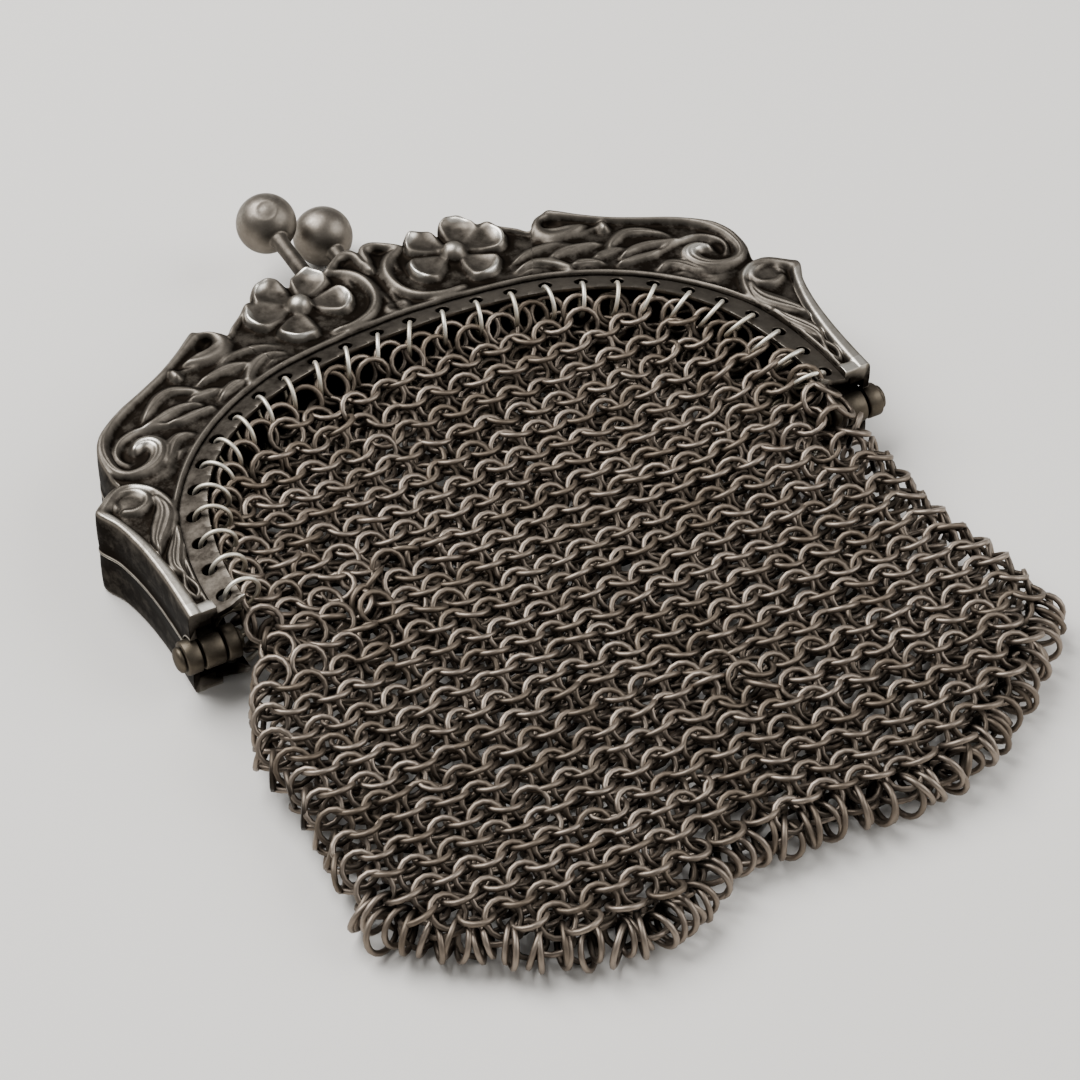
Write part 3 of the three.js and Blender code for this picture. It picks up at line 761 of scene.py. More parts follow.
def shell_section(highest):
    """Distances, heights from the seam and wear of the closed section; the face is worn down to highest."""
    face = np.minimum(FACE_HEIGHT, highest)
    rim = distance_at(RIM_TABLE, ARCH_DEG)
    border = distance_at(BORDER_TABLE, ARCH_DEG)
    y = rim * np.sin(np.radians(ARCH_DEG))
    foot = np.maximum(SEAM_GAP / 2, np.sqrt(np.clip(KNUCKLE_ROOM ** 2 - (y - HINGE_Y) ** 2, 0, None)))
    edge = HALF_DEPTH + face[:, 0]
    wall = edge - foot
    flange = np.full_like(rim, HALF_DEPTH - FLANGE_DROP)
    inside = np.full_like(rim, HALF_DEPTH - INSIDE_DROP)
    # Each row is a distance from the middle, a height from the seam and a wear.
    # The side wall is kept at low wear, so it takes the darkest colour: tarnish, and painted shade.
    before = [(rim + LIP_OUT, foot, 0.7), (rim + LIP_OUT, foot + LIP_HIGH, 0.75),
              (rim, foot + LIP_HIGH + 0.08, 0.06), (rim + 0.06, foot + 0.35 * wall, 0.13),
              (rim + 0.06, foot + 0.65 * wall, 0.13), (rim + 0.02, edge - 0.4, 0.2),
              (rim - 0.04, edge - 0.18, 0.5), (rim - 0.15, edge - 0.05, 0.62)]
    after = [(border - 0.04, HALF_DEPTH + face[:, -1] - 0.06, 0.3), (border - 0.06, flange + 0.1, 0.15),
             (border, flange - 0.2, 0.15), (border + SHEET, flange - 0.2, 0.1), (border + SHEET, inside, 0.1),
             (rim - SHEET, inside, 0.1), (rim - SHEET, foot + 0.3, 0.1), (rim - SHEET, foot, 0.3)]
    whole_face = (FACE_DISTANCE, HALF_DEPTH + face, FACE_WEAR)
    return [np.column_stack([row[part] + 0 * rim for row in before] + [whole_face[part]]
                            + [row[part] + 0 * rim for row in after]) for part in range(3)]


def half_frame_shell(name, up, highest, replaced):
    """The shell carried round the arch: up is 1 for the front half and -1 for the back one."""
    distance, height, wear = shell_section(highest)
    x, y = on_ray(ARCH_DEG[:, None], distance)
    points = np.stack([x, y, SEAM_Z + up * height], axis=-1)
    faces = tube_faces(*distance.shape)
    if up > 0:
        faces = [face[::-1] for face in faces]
    make_piece(name, points.reshape(-1, 3), faces, frame_silver, {"wear": wear}, replaced,
               sharp=60)


half_frame_shell("front_frame_shell", 1, FRONT_HIGHEST, ("front_frame",))
half_frame_shell("back_frame_shell", -1, BACK_HIGHEST, ("back_frame",))

# %% [markdown]
# The flange is a strip inside the arch that slopes up towards its lip, with a row of punched holes, one for
# each jump ring. First come the places of the holes, evenly spaced along the strip's middle line.

# %% Places of the holes
HOLE_COUNT = 27
HOLE_RADIUS = 0.55
HOLE_PLACE = 0.5
END_TO_FIRST_HOLE = 1.3


def strip_places(share):
    """Angle on the arch at a share of the length of the flange's middle line, and that length."""
    deg = np.linspace(FIRST_DEG, 180 - FIRST_DEG, 2 * SAMPLES)
    length = distances_along(*on_ray(deg, (distance_at(LIP_TABLE, deg) + distance_at(BORDER_TABLE, deg)) / 2))
    return np.interp(share * length[-1], length, deg), length[-1]


def hole_distance(deg):
    """Distance of the row of holes from the purse's point."""
    lip = distance_at(LIP_TABLE, deg)
    return lip + HOLE_PLACE * (distance_at(BORDER_TABLE, deg) - lip)


STRIP_LENGTH = strip_places(0.0)[1]
HOLE_SHARES = np.linspace(END_TO_FIRST_HOLE, STRIP_LENGTH - END_TO_FIRST_HOLE, HOLE_COUNT) / STRIP_LENGTH
HOLE_DEG = strip_places(HOLE_SHARES)[0]
print("flange", STRIP_LENGTH.round(1), "mm long with", HOLE_COUNT, "holes")

# %% [markdown]
# A cell of the strip is a square with a round hole, drawn on rays from the hole's middle, and the cells are
# laid end to end. Cutting the holes with a Boolean would leave long thin triangles; the rays keep clean quads
# and let the hole's edge be bevelled. On the front, the corners at the strip's two ends are bent up a little.
# Towards its right side the flange is painted lighter, as painted light.

# %% Flange with its holes
LIP_RISE = 0.6
FLANGE_TUCK = 0.3
CELL_RAYS = 32
FLANGE_BEVEL = 0.07
FLANGE_WEAR, LIP_WEAR = 0.24, 0.3
# Painted light: wear raised by this much from x = -10 to 8 mm, only where wear is above the next number.
FLANGE_PAINTED_LIGHT, PAINTED_LIGHT_FROM_X, PAINTED_LIGHT_TO_X = 0.16, -10, 8
PAINTED_LIGHT_ABOVE_WEAR = 0.15
TIP_LIFT = 0.45
NEAR = 1e-6


def cell_edges(angle):
    """x and y of every cell's edge on the rays: half-way to the next hole along, lip and border across."""
    box = 1 / np.maximum(np.abs(np.cos(angle)), np.abs(np.sin(angle)))
    along, across = box * np.cos(angle), box * np.sin(angle)
    bounds = np.concatenate([[0], (HOLE_SHARES[1:] + HOLE_SHARES[:-1]) / 2, [1]])
    reach = np.where(along > 0, (bounds[1:] - HOLE_SHARES)[:, None], (HOLE_SHARES - bounds[:-1])[:, None])
    deg = strip_places(HOLE_SHARES[:, None] + along * reach)[0]
    middle = hole_distance(deg)
    lip, border = distance_at(LIP_TABLE, deg), distance_at(BORDER_TABLE, deg) + FLANGE_TUCK
    distance = middle + across * np.where(across > 0, border - middle, middle - lip)
    return np.stack(on_ray(deg, distance), axis=-1), along, across


def end_corners(along, across):
    """1 at the lip on the strip's two end edges, falling to 0 at the row of holes, and 0 elsewhere."""
    corner = np.zeros((HOLE_COUNT, CELL_RAYS))
    corner[0] = np.clip(-across, 0, 1) * (along < -1 + NEAR)
    corner[-1] = np.clip(-across, 0, 1) * (along > 1 - NEAR)
    return corner


def cell_faces(along, ring_count):
    """Quads of all cells, without the walls between neighbouring cells."""
    quads = grid_quads(ring_count, CELL_RAYS, close_rows=True, close_columns=True)
    ray = np.arange(len(quads)) % CELL_RAYS
    wall = np.arange(len(quads)) < CELL_RAYS
    ahead = np.minimum(along[ray], along[(ray + 1) % CELL_RAYS]) > 1 - NEAR
    behind = np.maximum(along[ray], along[(ray + 1) % CELL_RAYS]) < -1 + NEAR
    cell = np.arange(HOLE_COUNT)[:, None]
    shared = wall & ((ahead & (cell < HOLE_COUNT - 1)) | (behind & (cell > 0)))
    return (quads[None] + cell[:, :, None] * ring_count * CELL_RAYS)[~shared]


def flange_strip(name, up):
    """Rings of points from each cell's edge to its hole and back below, laid on the slope to the lip."""
    angle = np.arange(CELL_RAYS) * 2 * np.pi / CELL_RAYS
    edge, along, across = cell_edges(angle)
    centre = np.stack(on_ray(HOLE_DEG, hole_distance(HOLE_DEG)), axis=-1)[:, None]
    outward = unit(centre)
    tangent = np.stack([-outward[..., 1], outward[..., 0]], axis=-1)
    spoke = tangent * np.cos(angle)[:, None] + outward * np.sin(angle)[:, None]
    hole, mouth = centre + HOLE_RADIUS * spoke, centre + (HOLE_RADIUS + FLANGE_BEVEL) * spoke
    at_lip = (np.abs(across + 1) < NEAR).astype(float)
    corner = end_corners(along, across)
    lift = TIP_LIFT * corner if up > 0 else 0 * corner
    rings = [
        # place, depth under the slope, wear
        (edge, SHEET - lift, corner),
        (edge, FLANGE_BEVEL * at_lip - lift, FLANGE_WEAR + LIP_WEAR * at_lip + corner),
        (edge + 0.08 * (mouth - edge), -0.85 * lift, FLANGE_WEAR + LIP_WEAR / 2 * at_lip + corner),
        (edge + 0.6 * (mouth - edge), 0.0, FLANGE_WEAR),
        (mouth, 0.0, 0.2),
        (hole, FLANGE_BEVEL, 0.1),
        (hole, SHEET, 0.0)]
    flat = np.stack([ring[0] for ring in rings], axis=1)
    below, wear = (np.stack([np.broadcast_to(ring[part], corner.shape) for ring in rings], axis=1)
                   for part in (1, 2))
    # Painted light on the flange's right side.
    wear = wear + FLANGE_PAINTED_LIGHT * ease(flat[..., 0], PAINTED_LIGHT_FROM_X, PAINTED_LIGHT_TO_X) * (wear > PAINTED_LIGHT_ABOVE_WEAR)
    deg = np.degrees(np.arctan2(flat[..., 1], flat[..., 0]))
    lip, border = distance_at(LIP_TABLE, deg), distance_at(BORDER_TABLE, deg)
    slope = LIP_RISE * np.clip((border - np.hypot(flat[..., 0], flat[..., 1])) / (border - lip), 0, 1)
    height = HALF_DEPTH - FLANGE_DROP + slope - below
    points = np.concatenate([flat, SEAM_Z + up * height[..., None]], axis=-1)
    faces = cell_faces(along, len(rings))
    if up < 0:
        faces = faces[:, ::-1]
    make_piece(name, points.reshape(-1, 3), faces.tolist(), frame_silver, {"wear": wear},
               sharp=30, merge=True)


flange_strip("front_flange", 1)
flange_strip("back_flange", -1)

# %% [markdown]
# The clasp is two balls on stems that snap past each other. A ball with its stem is one profile turned about
# the stem, as on a lathe. Blender's Screw modifier could turn it too, but arrays keep the wear along the
# profile at hand. The front ball has a dimple in its top.

# %% Clasp balls
BALL_RADIUS = 2.6
BALL_SIDES, BALL_RINGS = 80, 64
BALL_TIP_ANGLE = 0.03
BALL_Y = frame_high[1] - ORIGIN[1] - BALL_RADIUS
BALLS = dict(front=(-4.1, frame_high[2] - BALL_RADIUS), back=(1.1, 2.65))  # x and z
DIMPLE_TOWARDS = np.array([-0.11, -0.38, 0.92])
DIMPLE_RADIUS, DIMPLE_DEPTH = 0.95, 0.15
STEM_RADIUS, STEM_COLLAR = 0.72, 1.15
STEM_ROOT_Y = 31.4


def turned_points(along, radius, sides):
    """Profile turned about an axis: place along it, and two coordinates across it."""
    angle = np.arange(sides) * 2 * np.pi / sides
    return (np.broadcast_to(along[:, None], (len(along), sides)),
            radius[:, None] * np.cos(angle), radius[:, None] * np.sin(angle))


def dimple(points, centre):
    """Ball pushed in round one direction by depth times (1 - q^4), q being 1 at the dimple's edge."""
    out = unit(points - centre)
    share = BALL_RADIUS * np.arccos(np.clip(out @ unit(DIMPLE_TOWARDS), -1, 1)) / DIMPLE_RADIUS
    return points - out * (DIMPLE_DEPTH * (1 - np.clip(share, 0, 1) ** 4))[:, None]


def clasp_ball(name, x, z, dented):
    """Stem with a solder fillet at its root and a collar under the ball, then the ball to a flat tip."""
    neck = np.arcsin(STEM_RADIUS * STEM_COLLAR / BALL_RADIUS)
    swing = np.linspace(neck - 0.5 * np.pi, 0.5 * np.pi - BALL_TIP_ANGLE, BALL_RINGS)
    ball_y = BALL_Y + BALL_RADIUS * np.sin(swing)
    ball_r = BALL_RADIUS * np.cos(swing)
    stem_y = np.array([STEM_ROOT_Y, 32.6, 33.1, 33.6, 35.5, 37.5, ball_y[0] - 0.5, ball_y[0] - 0.12])
    stem_r = STEM_RADIUS * np.array([1.5, 1.45, 1.12, 1.0, 0.97, 0.97, 1.0, 1.08])
    along, across, high = turned_points(np.concatenate([stem_y, ball_y]), np.concatenate([stem_r, ball_r]),
                                        BALL_SIDES)
    points = np.stack([x + across, along, z - high], axis=-1).reshape(-1, 3)
    wear = np.concatenate([np.linspace(0.1, 0.4, len(stem_y)), np.linspace(0.5, 0.75, len(ball_y))])
    if dented:
        points = dimple(points, np.array([x, BALL_Y, z]))
    make_piece(name, points, tube_faces(len(wear), BALL_SIDES), frame_silver,
               {"wear": np.repeat(wear, BALL_SIDES)})


clasp_ball("front_clasp_ball", *BALLS["front"], dented=True)
clasp_ball("back_clasp_ball", *BALLS["back"], dented=False)

# %% [markdown]
# A hinge is three short tubes on a pin. The middle one belongs to the front half and the two beside it
# to the back half, and a bent strap joins each to the inside of its half frame. Tubes and pin are profiles
# turned about the hinge line, with rounded edges that catch the light.

# %% Hinge knuckles and pins
KNUCKLES = [  # name, 1 for the front half or -1 for the back one, inner end, outer end
    ("outer", -1, 29.75, 31.0), ("middle", 1, 27.85, 29.55), ("inner", -1, 26.5, 27.65)]
KNUCKLE_RADIUS, KNUCKLE_ROUND = 1.4, 0.14
KNUCKLE_WEAR, STRAP_WEAR = 0.42, 0.2
PIN_HEAD_RADIUS, PIN_RADIUS = 1.05, 0.45
STRAP_THICK, STRAP_INSET = 0.5, 0.1
STRAP_END_Y, STRAP_END_X = 2.8, 30.5
TURN_SIDES = 40


def turned_on_hinge(name, side, profile, replaced=()):
    """Profile of distances from the middle and radii, turned about the hinge line of one side."""
    out, radius = np.array(profile).T
    along, across, high = turned_points(out, radius, TURN_SIDES)
    points = np.stack([side * along, HINGE_Y + across, SEAM_Z + side * high], axis=-1).reshape(-1, 3)
    make_piece(name, points, tube_faces(len(out), TURN_SIDES), hinge_silver,
               {"wear": np.full(len(points), KNUCKLE_WEAR)}, replaced, sharp=50)


def knuckle(name, side, inner, outer):
    """Short tube with rounded ends."""
    r, e = KNUCKLE_RADIUS, KNUCKLE_ROUND
    profile = [(inner, r - 2.5 * e), (inner, r - e), (inner + 0.3 * e, r - 0.3 * e), (inner + e, r),
               (outer - e, r), (outer - 0.3 * e, r - 0.3 * e), (outer, r - e), (outer, r - 2.5 * e)]
    turned_on_hinge(name, side, profile)


def hinge_pin(name, side, node):
    """Pin through the knuckles: a small flat head inside, a low dome outside."""
    inner, outer = KNUCKLES[2][2] - 0.35, KNUCKLES[0][3] + 0.1
    h = PIN_HEAD_RADIUS
    profile = [(inner, 0.2), (inner, 0.8 * h), (inner + 0.25, 0.8 * h), (inner + 0.25, PIN_RADIUS),
               (outer, PIN_RADIUS), (outer, 0.97 * h), (outer + 0.12, h), (outer + 0.3, 0.93 * h),
               (outer + 0.44, 0.7 * h), (outer + 0.52, 0.35 * h), (outer + 0.55, 0.05)]
    turned_on_hinge(name, side, profile, (node,))


def strap(name, side, up, inner, outer):
    """Bent strap from a knuckle up inside the end of its half frame: an angle section carried across."""
    low, high = KNUCKLE_RADIUS - STRAP_THICK, KNUCKLE_RADIUS - 0.02
    root = HALF_DEPTH - FLANGE_DROP - 0.3
    bend_y = STRAP_END_Y - STRAP_THICK
    section = np.array([(HINGE_Y, low), (bend_y, low), (bend_y, root), (STRAP_END_Y, root),
                        (STRAP_END_Y, high), (HINGE_Y, high)])
    x = side * np.repeat([inner + STRAP_INSET, outer - STRAP_INSET], len(section))
    y, z = np.tile(section.T, 2)
    faces = tube_faces(2, len(section))
    if side * up < 0:
        faces = [face[::-1] for face in faces]
    piece = make_piece(name, np.stack([x, y, SEAM_Z + up * z], axis=-1), faces, hinge_silver,
                       {"wear": np.full(len(x), STRAP_WEAR)})
    piece.data.shade_flat()


for side_name, side in (("left", -1), ("right", 1)):
    for place, up, inner, outer in KNUCKLES:
        knuckle(f"{side_name}_{place}_knuckle", side, inner, outer)
        strap(f"{side_name}_{place}_strap", side, up, inner, min(outer, STRAP_END_X))
    hinge_pin(f"{side_name}_hinge_pin", side, f"hinge_pin_{side_name}")

# %% [markdown]
# The mail is woven four in one: each link goes through two links of the row above and two of the row below.
# The bag below the hinges is a tube, so a row runs over the front, round the edge and back under, and a
# link's place is a column number along its row and a height y. The surface that the links follow hangs from
# the frame and sinks to the table. It could be draped as cloth, but rings of wire neither stretch nor fold
# like cloth, so it is a formula that keeps the columns evenly spaced.

# %% Surface that the mail follows
BAG_SIDES = dict(
    y=[20.0, 8.0, 2.0, -2.2, -4.2, -7.5, -13.0, -18.0, -23.0, -26.0, -40.0],
    left=[28.4, 28.0, 26.8, 26.6, 28.1, 29.8, 30.3, 30.4, 30.5, 30.6, 30.6],
    right=[28.6, 28.4, 28.1, 27.7, 28.0, 29.2, 30.0, 30.7, 31.7, 31.9, 31.9])
FOLDS = [  # x, y, reach, lift
    (25, 2, 6, 1.2), (-19, 1, 6, -0.5), (3, -22, 7, 0.4), (17, -14, 8, -0.4), (-14, -31, 6, 0.3),
    (12, -31, 6, -0.3)]
LINKS_LEFT, LINKS_RIGHT = 9.0, 9.5
SHEET_HALF = 1.35
FRONT_LOW, FRONT_RISE = 3.8, 3.1
BACK_LOW, BACK_RISE = 1.22, 2.2
BACK_SLIP = 0.3
RIGHT_SLUMP, SLUMP_FROM_X, SLUMP_TO_X = 1.0, 14, 28
SAG_REACH = 9.0


def hung_share(x, y):
    """1 at the lip of the arch, where the mail hangs, falling as exp(-distance / reach) to the table."""
    deg = np.degrees(np.arctan2(np.maximum(y, 0), x))
    in_arch = distance_at(LIP_TABLE, deg) - np.hypot(x, y)
    from_hinge = np.hypot(np.maximum(LIP["mm"][0] - np.abs(x), 0), y)
    return np.exp(-np.maximum(np.where(y > 0, in_arch, from_hinge), 0) / SAG_REACH)


def links_to_fold(column):
    """Number of links from the middle of a row to the fold on the column's side."""
    return np.where(column >= 0, LINKS_RIGHT, LINKS_LEFT)


def sheet_point(column, y):
    """Middle of the mail: flat over the front, half round at the fold, flat under the back.

    It sags away from the frame, slumps outwards at the right fold, is lifted by folds in the front, and
    drifts by slow waves that make the rows wander.
    """
    rising = np.argsort(BAG_SIDES["y"])
    levels, right, left = (np.array(BAG_SIDES[key])[rising] for key in ("y", "right", "left"))
    edge = np.where(column >= 0, np.interp(y, levels, right), np.interp(y, levels, left))
    bend = (FRONT_LOW - BACK_LOW) / 2
    flat = edge - bend - SHEET_HALF
    arc = np.pi * bend
    s = np.abs(column) * ((flat + arc / 2) / links_to_fold(column))
    turn = np.clip((s - flat) / bend, 0, np.pi)
    under = np.maximum(s - flat - arc, 0)
    x = np.sign(column) * (np.minimum(s, flat) + bend * np.sin(turn) - under)
    front = (1 + np.cos(turn)) / 2
    x = x + RIGHT_SLUMP * (1 - front) * ease(x, SLUMP_FROM_X, SLUMP_TO_X)
    hung = hung_share(x, y)
    back = BACK_LOW + BACK_RISE * hung
    z = back + (FRONT_LOW + FRONT_RISE * hung - back) * front
    for fold_x, fold_y, reach, lift in FOLDS:
        z = z + lift * front * np.exp(-((x - fold_x) ** 2 + (y - fold_y) ** 2) / reach ** 2)
    drift_x = 0.35 * np.sin(y / 5.1 + 0.7) + 0.25 * np.sin(y / 2.3 + x / 9)
    drift_y = 0.50 * np.sin(x / 8.3 + 1.1) + 0.30 * np.sin(x / 3.7 + y / 6) + BACK_SLIP * (1 - front)
    return np.stack([x + drift_x, y + drift_y, z], axis=-1)


def sheet_frame(column, y):
    """Place on the mail with its unit directions along the row, up the bag and outwards."""
    step = 0.02
    along = sheet_point(column + step, y) - sheet_point(column - step, y)
    up = sheet_point(column, y + step) - sheet_point(column, y - step)
    along = unit(along)
    up = unit(up - along * (up * along).sum(axis=-1, keepdims=True))
    return sheet_point(column, y), along, up, np.cross(along, up)


print("mail", LINKS_LEFT + LINKS_RIGHT, "links across a row")

# %% [markdown]
# All links are one torus moved to many places. Its points are the middle circle of the link, spanned by two
# directions, plus the wire's own small circle round it. Two thousand objects would be slow to handle, so the
# links of one kind are a single mesh in which each link keeps its own tint. A link of the mail repeats so
# often that it has only 14 by 5 faces, and smooth shading hides that.

# %% Links as whole arrays
LINK_STEPS, LINK_SIDES = 14, 5
TABLE_CLEAR = 0.02


def links(name, centre, first, second, radius, wire, outward, material, steps=LINK_STEPS, sides=LINK_SIDES,
          seed=1, replaced=()):
    """Tori: middle circle centre + radius (first cos t + second sin t), and the wire's circle about it.

    A link that would dip into the table is lifted until it lies on it.
    """
    first = unit(first)
    second = unit(second - first * (second * first).sum(axis=-1, keepdims=True))
    axis = np.cross(first, second)
    t = np.arange(steps) * 2 * np.pi / steps
    w = (np.arange(sides) + 0.5) * 2 * np.pi / sides
    radial = first[:, None] * np.cos(t)[None, :, None] + second[:, None] * np.sin(t)[None, :, None]
    middle = centre[:, None] + radius[:, None, None] * radial
    section = (radial[:, :, None] * np.cos(w)[None, None, :, None]
               + axis[:, None, None] * np.sin(w)[None, None, :, None])
    points = middle[:, :, None] + wire * section
    points[..., 2] += np.maximum(TABLE_CLEAR - points[..., 2].min(axis=(1, 2)), 0)[:, None, None]
    count = len(centre)
    quads = grid_quads(steps, sides, close_rows=True, close_columns=True)[:, ::-1]
    faces = (quads[None] + np.arange(count)[:, None, None] * steps * sides).reshape(-1, 4)
    # Depth is how far a point lies along outward, over the radius; the wire material paints shade where it is
    # low.
    depth = ((points - centre[:, None, None]) * outward[:, None, None]).sum(axis=-1) / radius[:, None, None]
    tint = np.random.default_rng(seed).random(count)[:, None, None] + 0 * depth
    make_piece(name, points.reshape(-1, 3), faces.tolist(), material,
               {"tint": tint, "depth": depth}, replaced)


def shaken(vectors, amount, rng):
    """Directions turned by a small random angle."""
    return vectors + rng.normal(0, 1, vectors.shape) * amount


print("a link has", LINK_STEPS * LINK_SIDES, "faces")

# %% [markdown]
# Which links there are: rows start under the top of the arch, a little further apart there, where the mail
# hangs, than in the body. Every other row is shifted by half a link. Links outside the arch or past the
# bottom edge are left out, and beside a hinge only those stay that ride high enough to pass over it.

# %% Rows of the mail
BAG_EDGE = [
    (32.4, -25.6), (28.6, -29.5), (24.6, -32.5), (20.2, -35.5), (15.0, -37.6), (10.0, -37.4), (4.0, -37.0),
    (-3.0, -36.8), (-6.0, -38.2), (-9.8, -39.6), (-14.5, -39.8), (-19.4, -37.8), (-23.4, -35.5),
    (-27.2, -32.5), (-29.8, -29.5), (-30.6, -26.8)]
TOP_ROW_Y, LAST_ROW_Y = 20.9, -38.5
ROW_STEP_BODY, BODY_Y = 1.09, 2
ROW_STEP_ARCH, ARCH_Y = 1.15, 14
HANG_TOP, HANG_LEFT, HANG_RIGHT = 1.0, 1.5, 0.6
ARCH_FOOT_Y = 0.8
HINGE_LEVEL_Y, HINGE_HALF_WIDTH, OVER_HINGE_Z = -2.4, 25.9, 6.2
BOTTOM_FROM_Y, BOTTOM_MARGIN = -22, 2.1


def hang_in(deg):
    """How far inside the lip the mail starts: HANG_TOP at the top of the arch, easing to its sides."""
    side = np.where(deg > 90, HANG_LEFT, HANG_RIGHT)
    return HANG_TOP + (side - HANG_TOP) * np.cos(np.radians(deg)) ** 2


def row_heights():
    """Heights of the rows from the top down, and the distance between rows at each."""
    heights, steps = [TOP_ROW_Y], [ROW_STEP_ARCH]
    while heights[-1] > LAST_ROW_Y:
        hanging = float(ease(heights[-1], BODY_Y, ARCH_Y))
        steps.append(ROW_STEP_BODY + (ROW_STEP_ARCH - ROW_STEP_BODY) * hanging)
        heights.append(heights[-1] - steps[-1])
    return np.array(heights), np.array(steps)


def inside_bottom(x, y):
    """Distance above the bottom edge, negative outside it."""
    path = np.array(BAG_EDGE)
    away = nearest_on_path(x, y, path)[0]
    order = np.argsort(path[:, 0])
    above = y > np.interp(x, path[order, 0], path[order, 1])
    return np.where(above, away, -away)


def mail_links():
    """Row, column, height and row spacing of every link that lies inside the bag."""
    heights, steps = row_heights()
    column = np.arange(0.5 - 2 * LINKS_LEFT, 2 * LINKS_RIGHT + 0.1, 0.5)
    row, column = (values.ravel() for values in np.meshgrid(np.arange(len(heights)), column, indexing="ij"))
    whole = np.abs(column - np.round(column)) < 0.1
    fits = np.where(row % 2 == 1, ~whole, whole)
    row, column = row[fits], column[fits]
    x, y, z = sheet_point(column, heights[row]).T
    deg = np.degrees(np.arctan2(np.maximum(y, 0), x))
    in_arch = distance_at(LIP_TABLE, deg) - np.hypot(x, y) > hang_in(deg)
    clear_of_hinge = (np.abs(x) < HINGE_HALF_WIDTH) | (z > OVER_HINGE_Z) | (y <= HINGE_LEVEL_Y)
    keep = np.where(y > ARCH_FOOT_Y, in_arch, clear_of_hinge)
    keep &= (y > BOTTOM_FROM_Y) | (inside_bottom(x, y) > BOTTOM_MARGIN)
    return row[keep], column[keep], heights[row[keep]], steps[row[keep]]


ROW, COLUMN, ROW_Y, ROW_STEP = mail_links()
IN_FRONT = np.abs(COLUMN) < links_to_fold(COLUMN) + 0.1
print("links in front", IN_FRONT.sum(), "and behind", (~IN_FRONT).sum())

# %% [markdown]
# How they lie: rows lean by turns towards and away from the viewer, which makes the mail look knitted. Rows
# set further apart pull their links flatter. No two links lie quite alike, so each is shaken by a small
# seeded amount, and more where the mail has bunched up. Both layers show their upper side, so depth is
# measured upwards in both, and the painted shade falls on the lower side of each link.

# %% Front and back of the mail
LINK_RADIUS, WIRE_RADIUS = 1.35, 0.25
LINK_OVERLAP = 0.48
STEEPEST, FLATTEST = 0.6, 0.93
BUNCHES = [(-18, 1, 6, 1.6), (4, -21.5, 4, 1.4), (-8, 17, 4, 1.2), (24, -2, 5, 1.0)]  # x, y, reach, extra
PLACE_SHAKE, RADIUS_SHAKE, ALONG_SHAKE, LEAN_SHAKE = 0.1, 0.02, 0.1, 0.12


def disorder(place):
    """How untidily the links lie: 1, and more round the places where the mail has bunched up."""
    loose = np.ones(len(place))
    for spot_x, spot_y, reach, extra in BUNCHES:
        loose += extra * np.exp(-((place[:, 0] - spot_x) ** 2 + (place[:, 1] - spot_y) ** 2) / reach ** 2)
    return loose[:, None]


def mail(name, wanted, seed, replaced=()):
    """Links of one layer: each circle is spanned by the row's direction and a leaning one up the bag."""
    rng = np.random.default_rng(seed)
    row, column, y, step = (values[wanted] for values in (ROW, COLUMN, ROW_Y, ROW_STEP))
    centre, along, up, out = sheet_frame(column, y)
    lean = np.where(row % 2 == 1, 1.0, -1.0)[:, None]
    flat = np.clip(step / (2 * LINK_RADIUS * LINK_OVERLAP), STEEPEST, FLATTEST)[:, None]
    second = flat * up + lean * np.sqrt(1 - flat ** 2) * out
    loose = disorder(centre)
    centre = centre + rng.normal(0, PLACE_SHAKE, centre.shape) * loose
    radius = LINK_RADIUS * (1 + rng.normal(0, RADIUS_SHAKE, len(row)))
    along = shaken(along, ALONG_SHAKE * loose, rng)
    second = shaken(second, LEAN_SHAKE * loose, rng)
    upwards = out * np.sign(out[:, 2:])
    links(name, centre, along, second, radius, WIRE_RADIUS, upwards, mail_wire, seed=seed, replaced=replaced)


mail("front_mail", IN_FRONT, seed=11, replaced=("mail_bag",))
mail("back_mail", ~IN_FRONT, seed=12)

# %% [markdown]
# Bright jump rings go through the flange's holes and over its lip. At one place on the right they stand
# straight across the flange; left of it the pull of the mail slants them, and right of it they lean over. In
# each hangs one link that carries the mail. A ring's middle is worked out from its hole, because a ring drawn
# without regard to the hole would cut through the flange.

# %% Jump rings and the links that hang in them
JUMP_RADIUS, JUMP_WIRE = 1.4, 0.19
JUMP_STEPS, JUMP_SIDES = 28, 8
JUMP_IN, LEAST_BELOW = 0.3, 0.2
JUMP_SHAKE = 0.08
STRAIGHT_DEG = 61.6
JUMP_SLANT, SLANT_OVER_DEG, SLANT_FADE_DEG = math.radians(26), 28, (165, 115)
JUMP_LEAN, LEAN_OVER_DEG = math.radians(30), 36
HANG_RADIUS = 1.36
HANG_STEPS, HANG_SIDES = 20, 6
HANG_LEAN = math.radians(45)
HANG_DROP = 2.0
HANG_INWARD = 0.6
HANG_SHAKE, HANG_ALONG_SHAKE, HANG_LEAN_SHAKE = 0.08, 0.12, 0.1


def lip_frame(deg):
    """Point of the flange's lip with its inward and along directions, level."""
    step = 0.3
    lip, ahead, behind = (np.column_stack(on_ray(at, distance_at(LIP_TABLE, at)))
                          for at in (deg, deg + step, deg - step))
    along = unit(ahead - behind)
    inward = np.stack([-along[:, 1], along[:, 0]], axis=-1)
    level = np.zeros((len(deg), 1))
    return lip, np.hstack([inward, level]), np.hstack([along, level])


def at_level(places, height, up):
    """x and y of each hole or lip point, with z at a height from the seam."""
    return np.column_stack([places, np.full(HOLE_COUNT, SEAM_Z + up * height)])


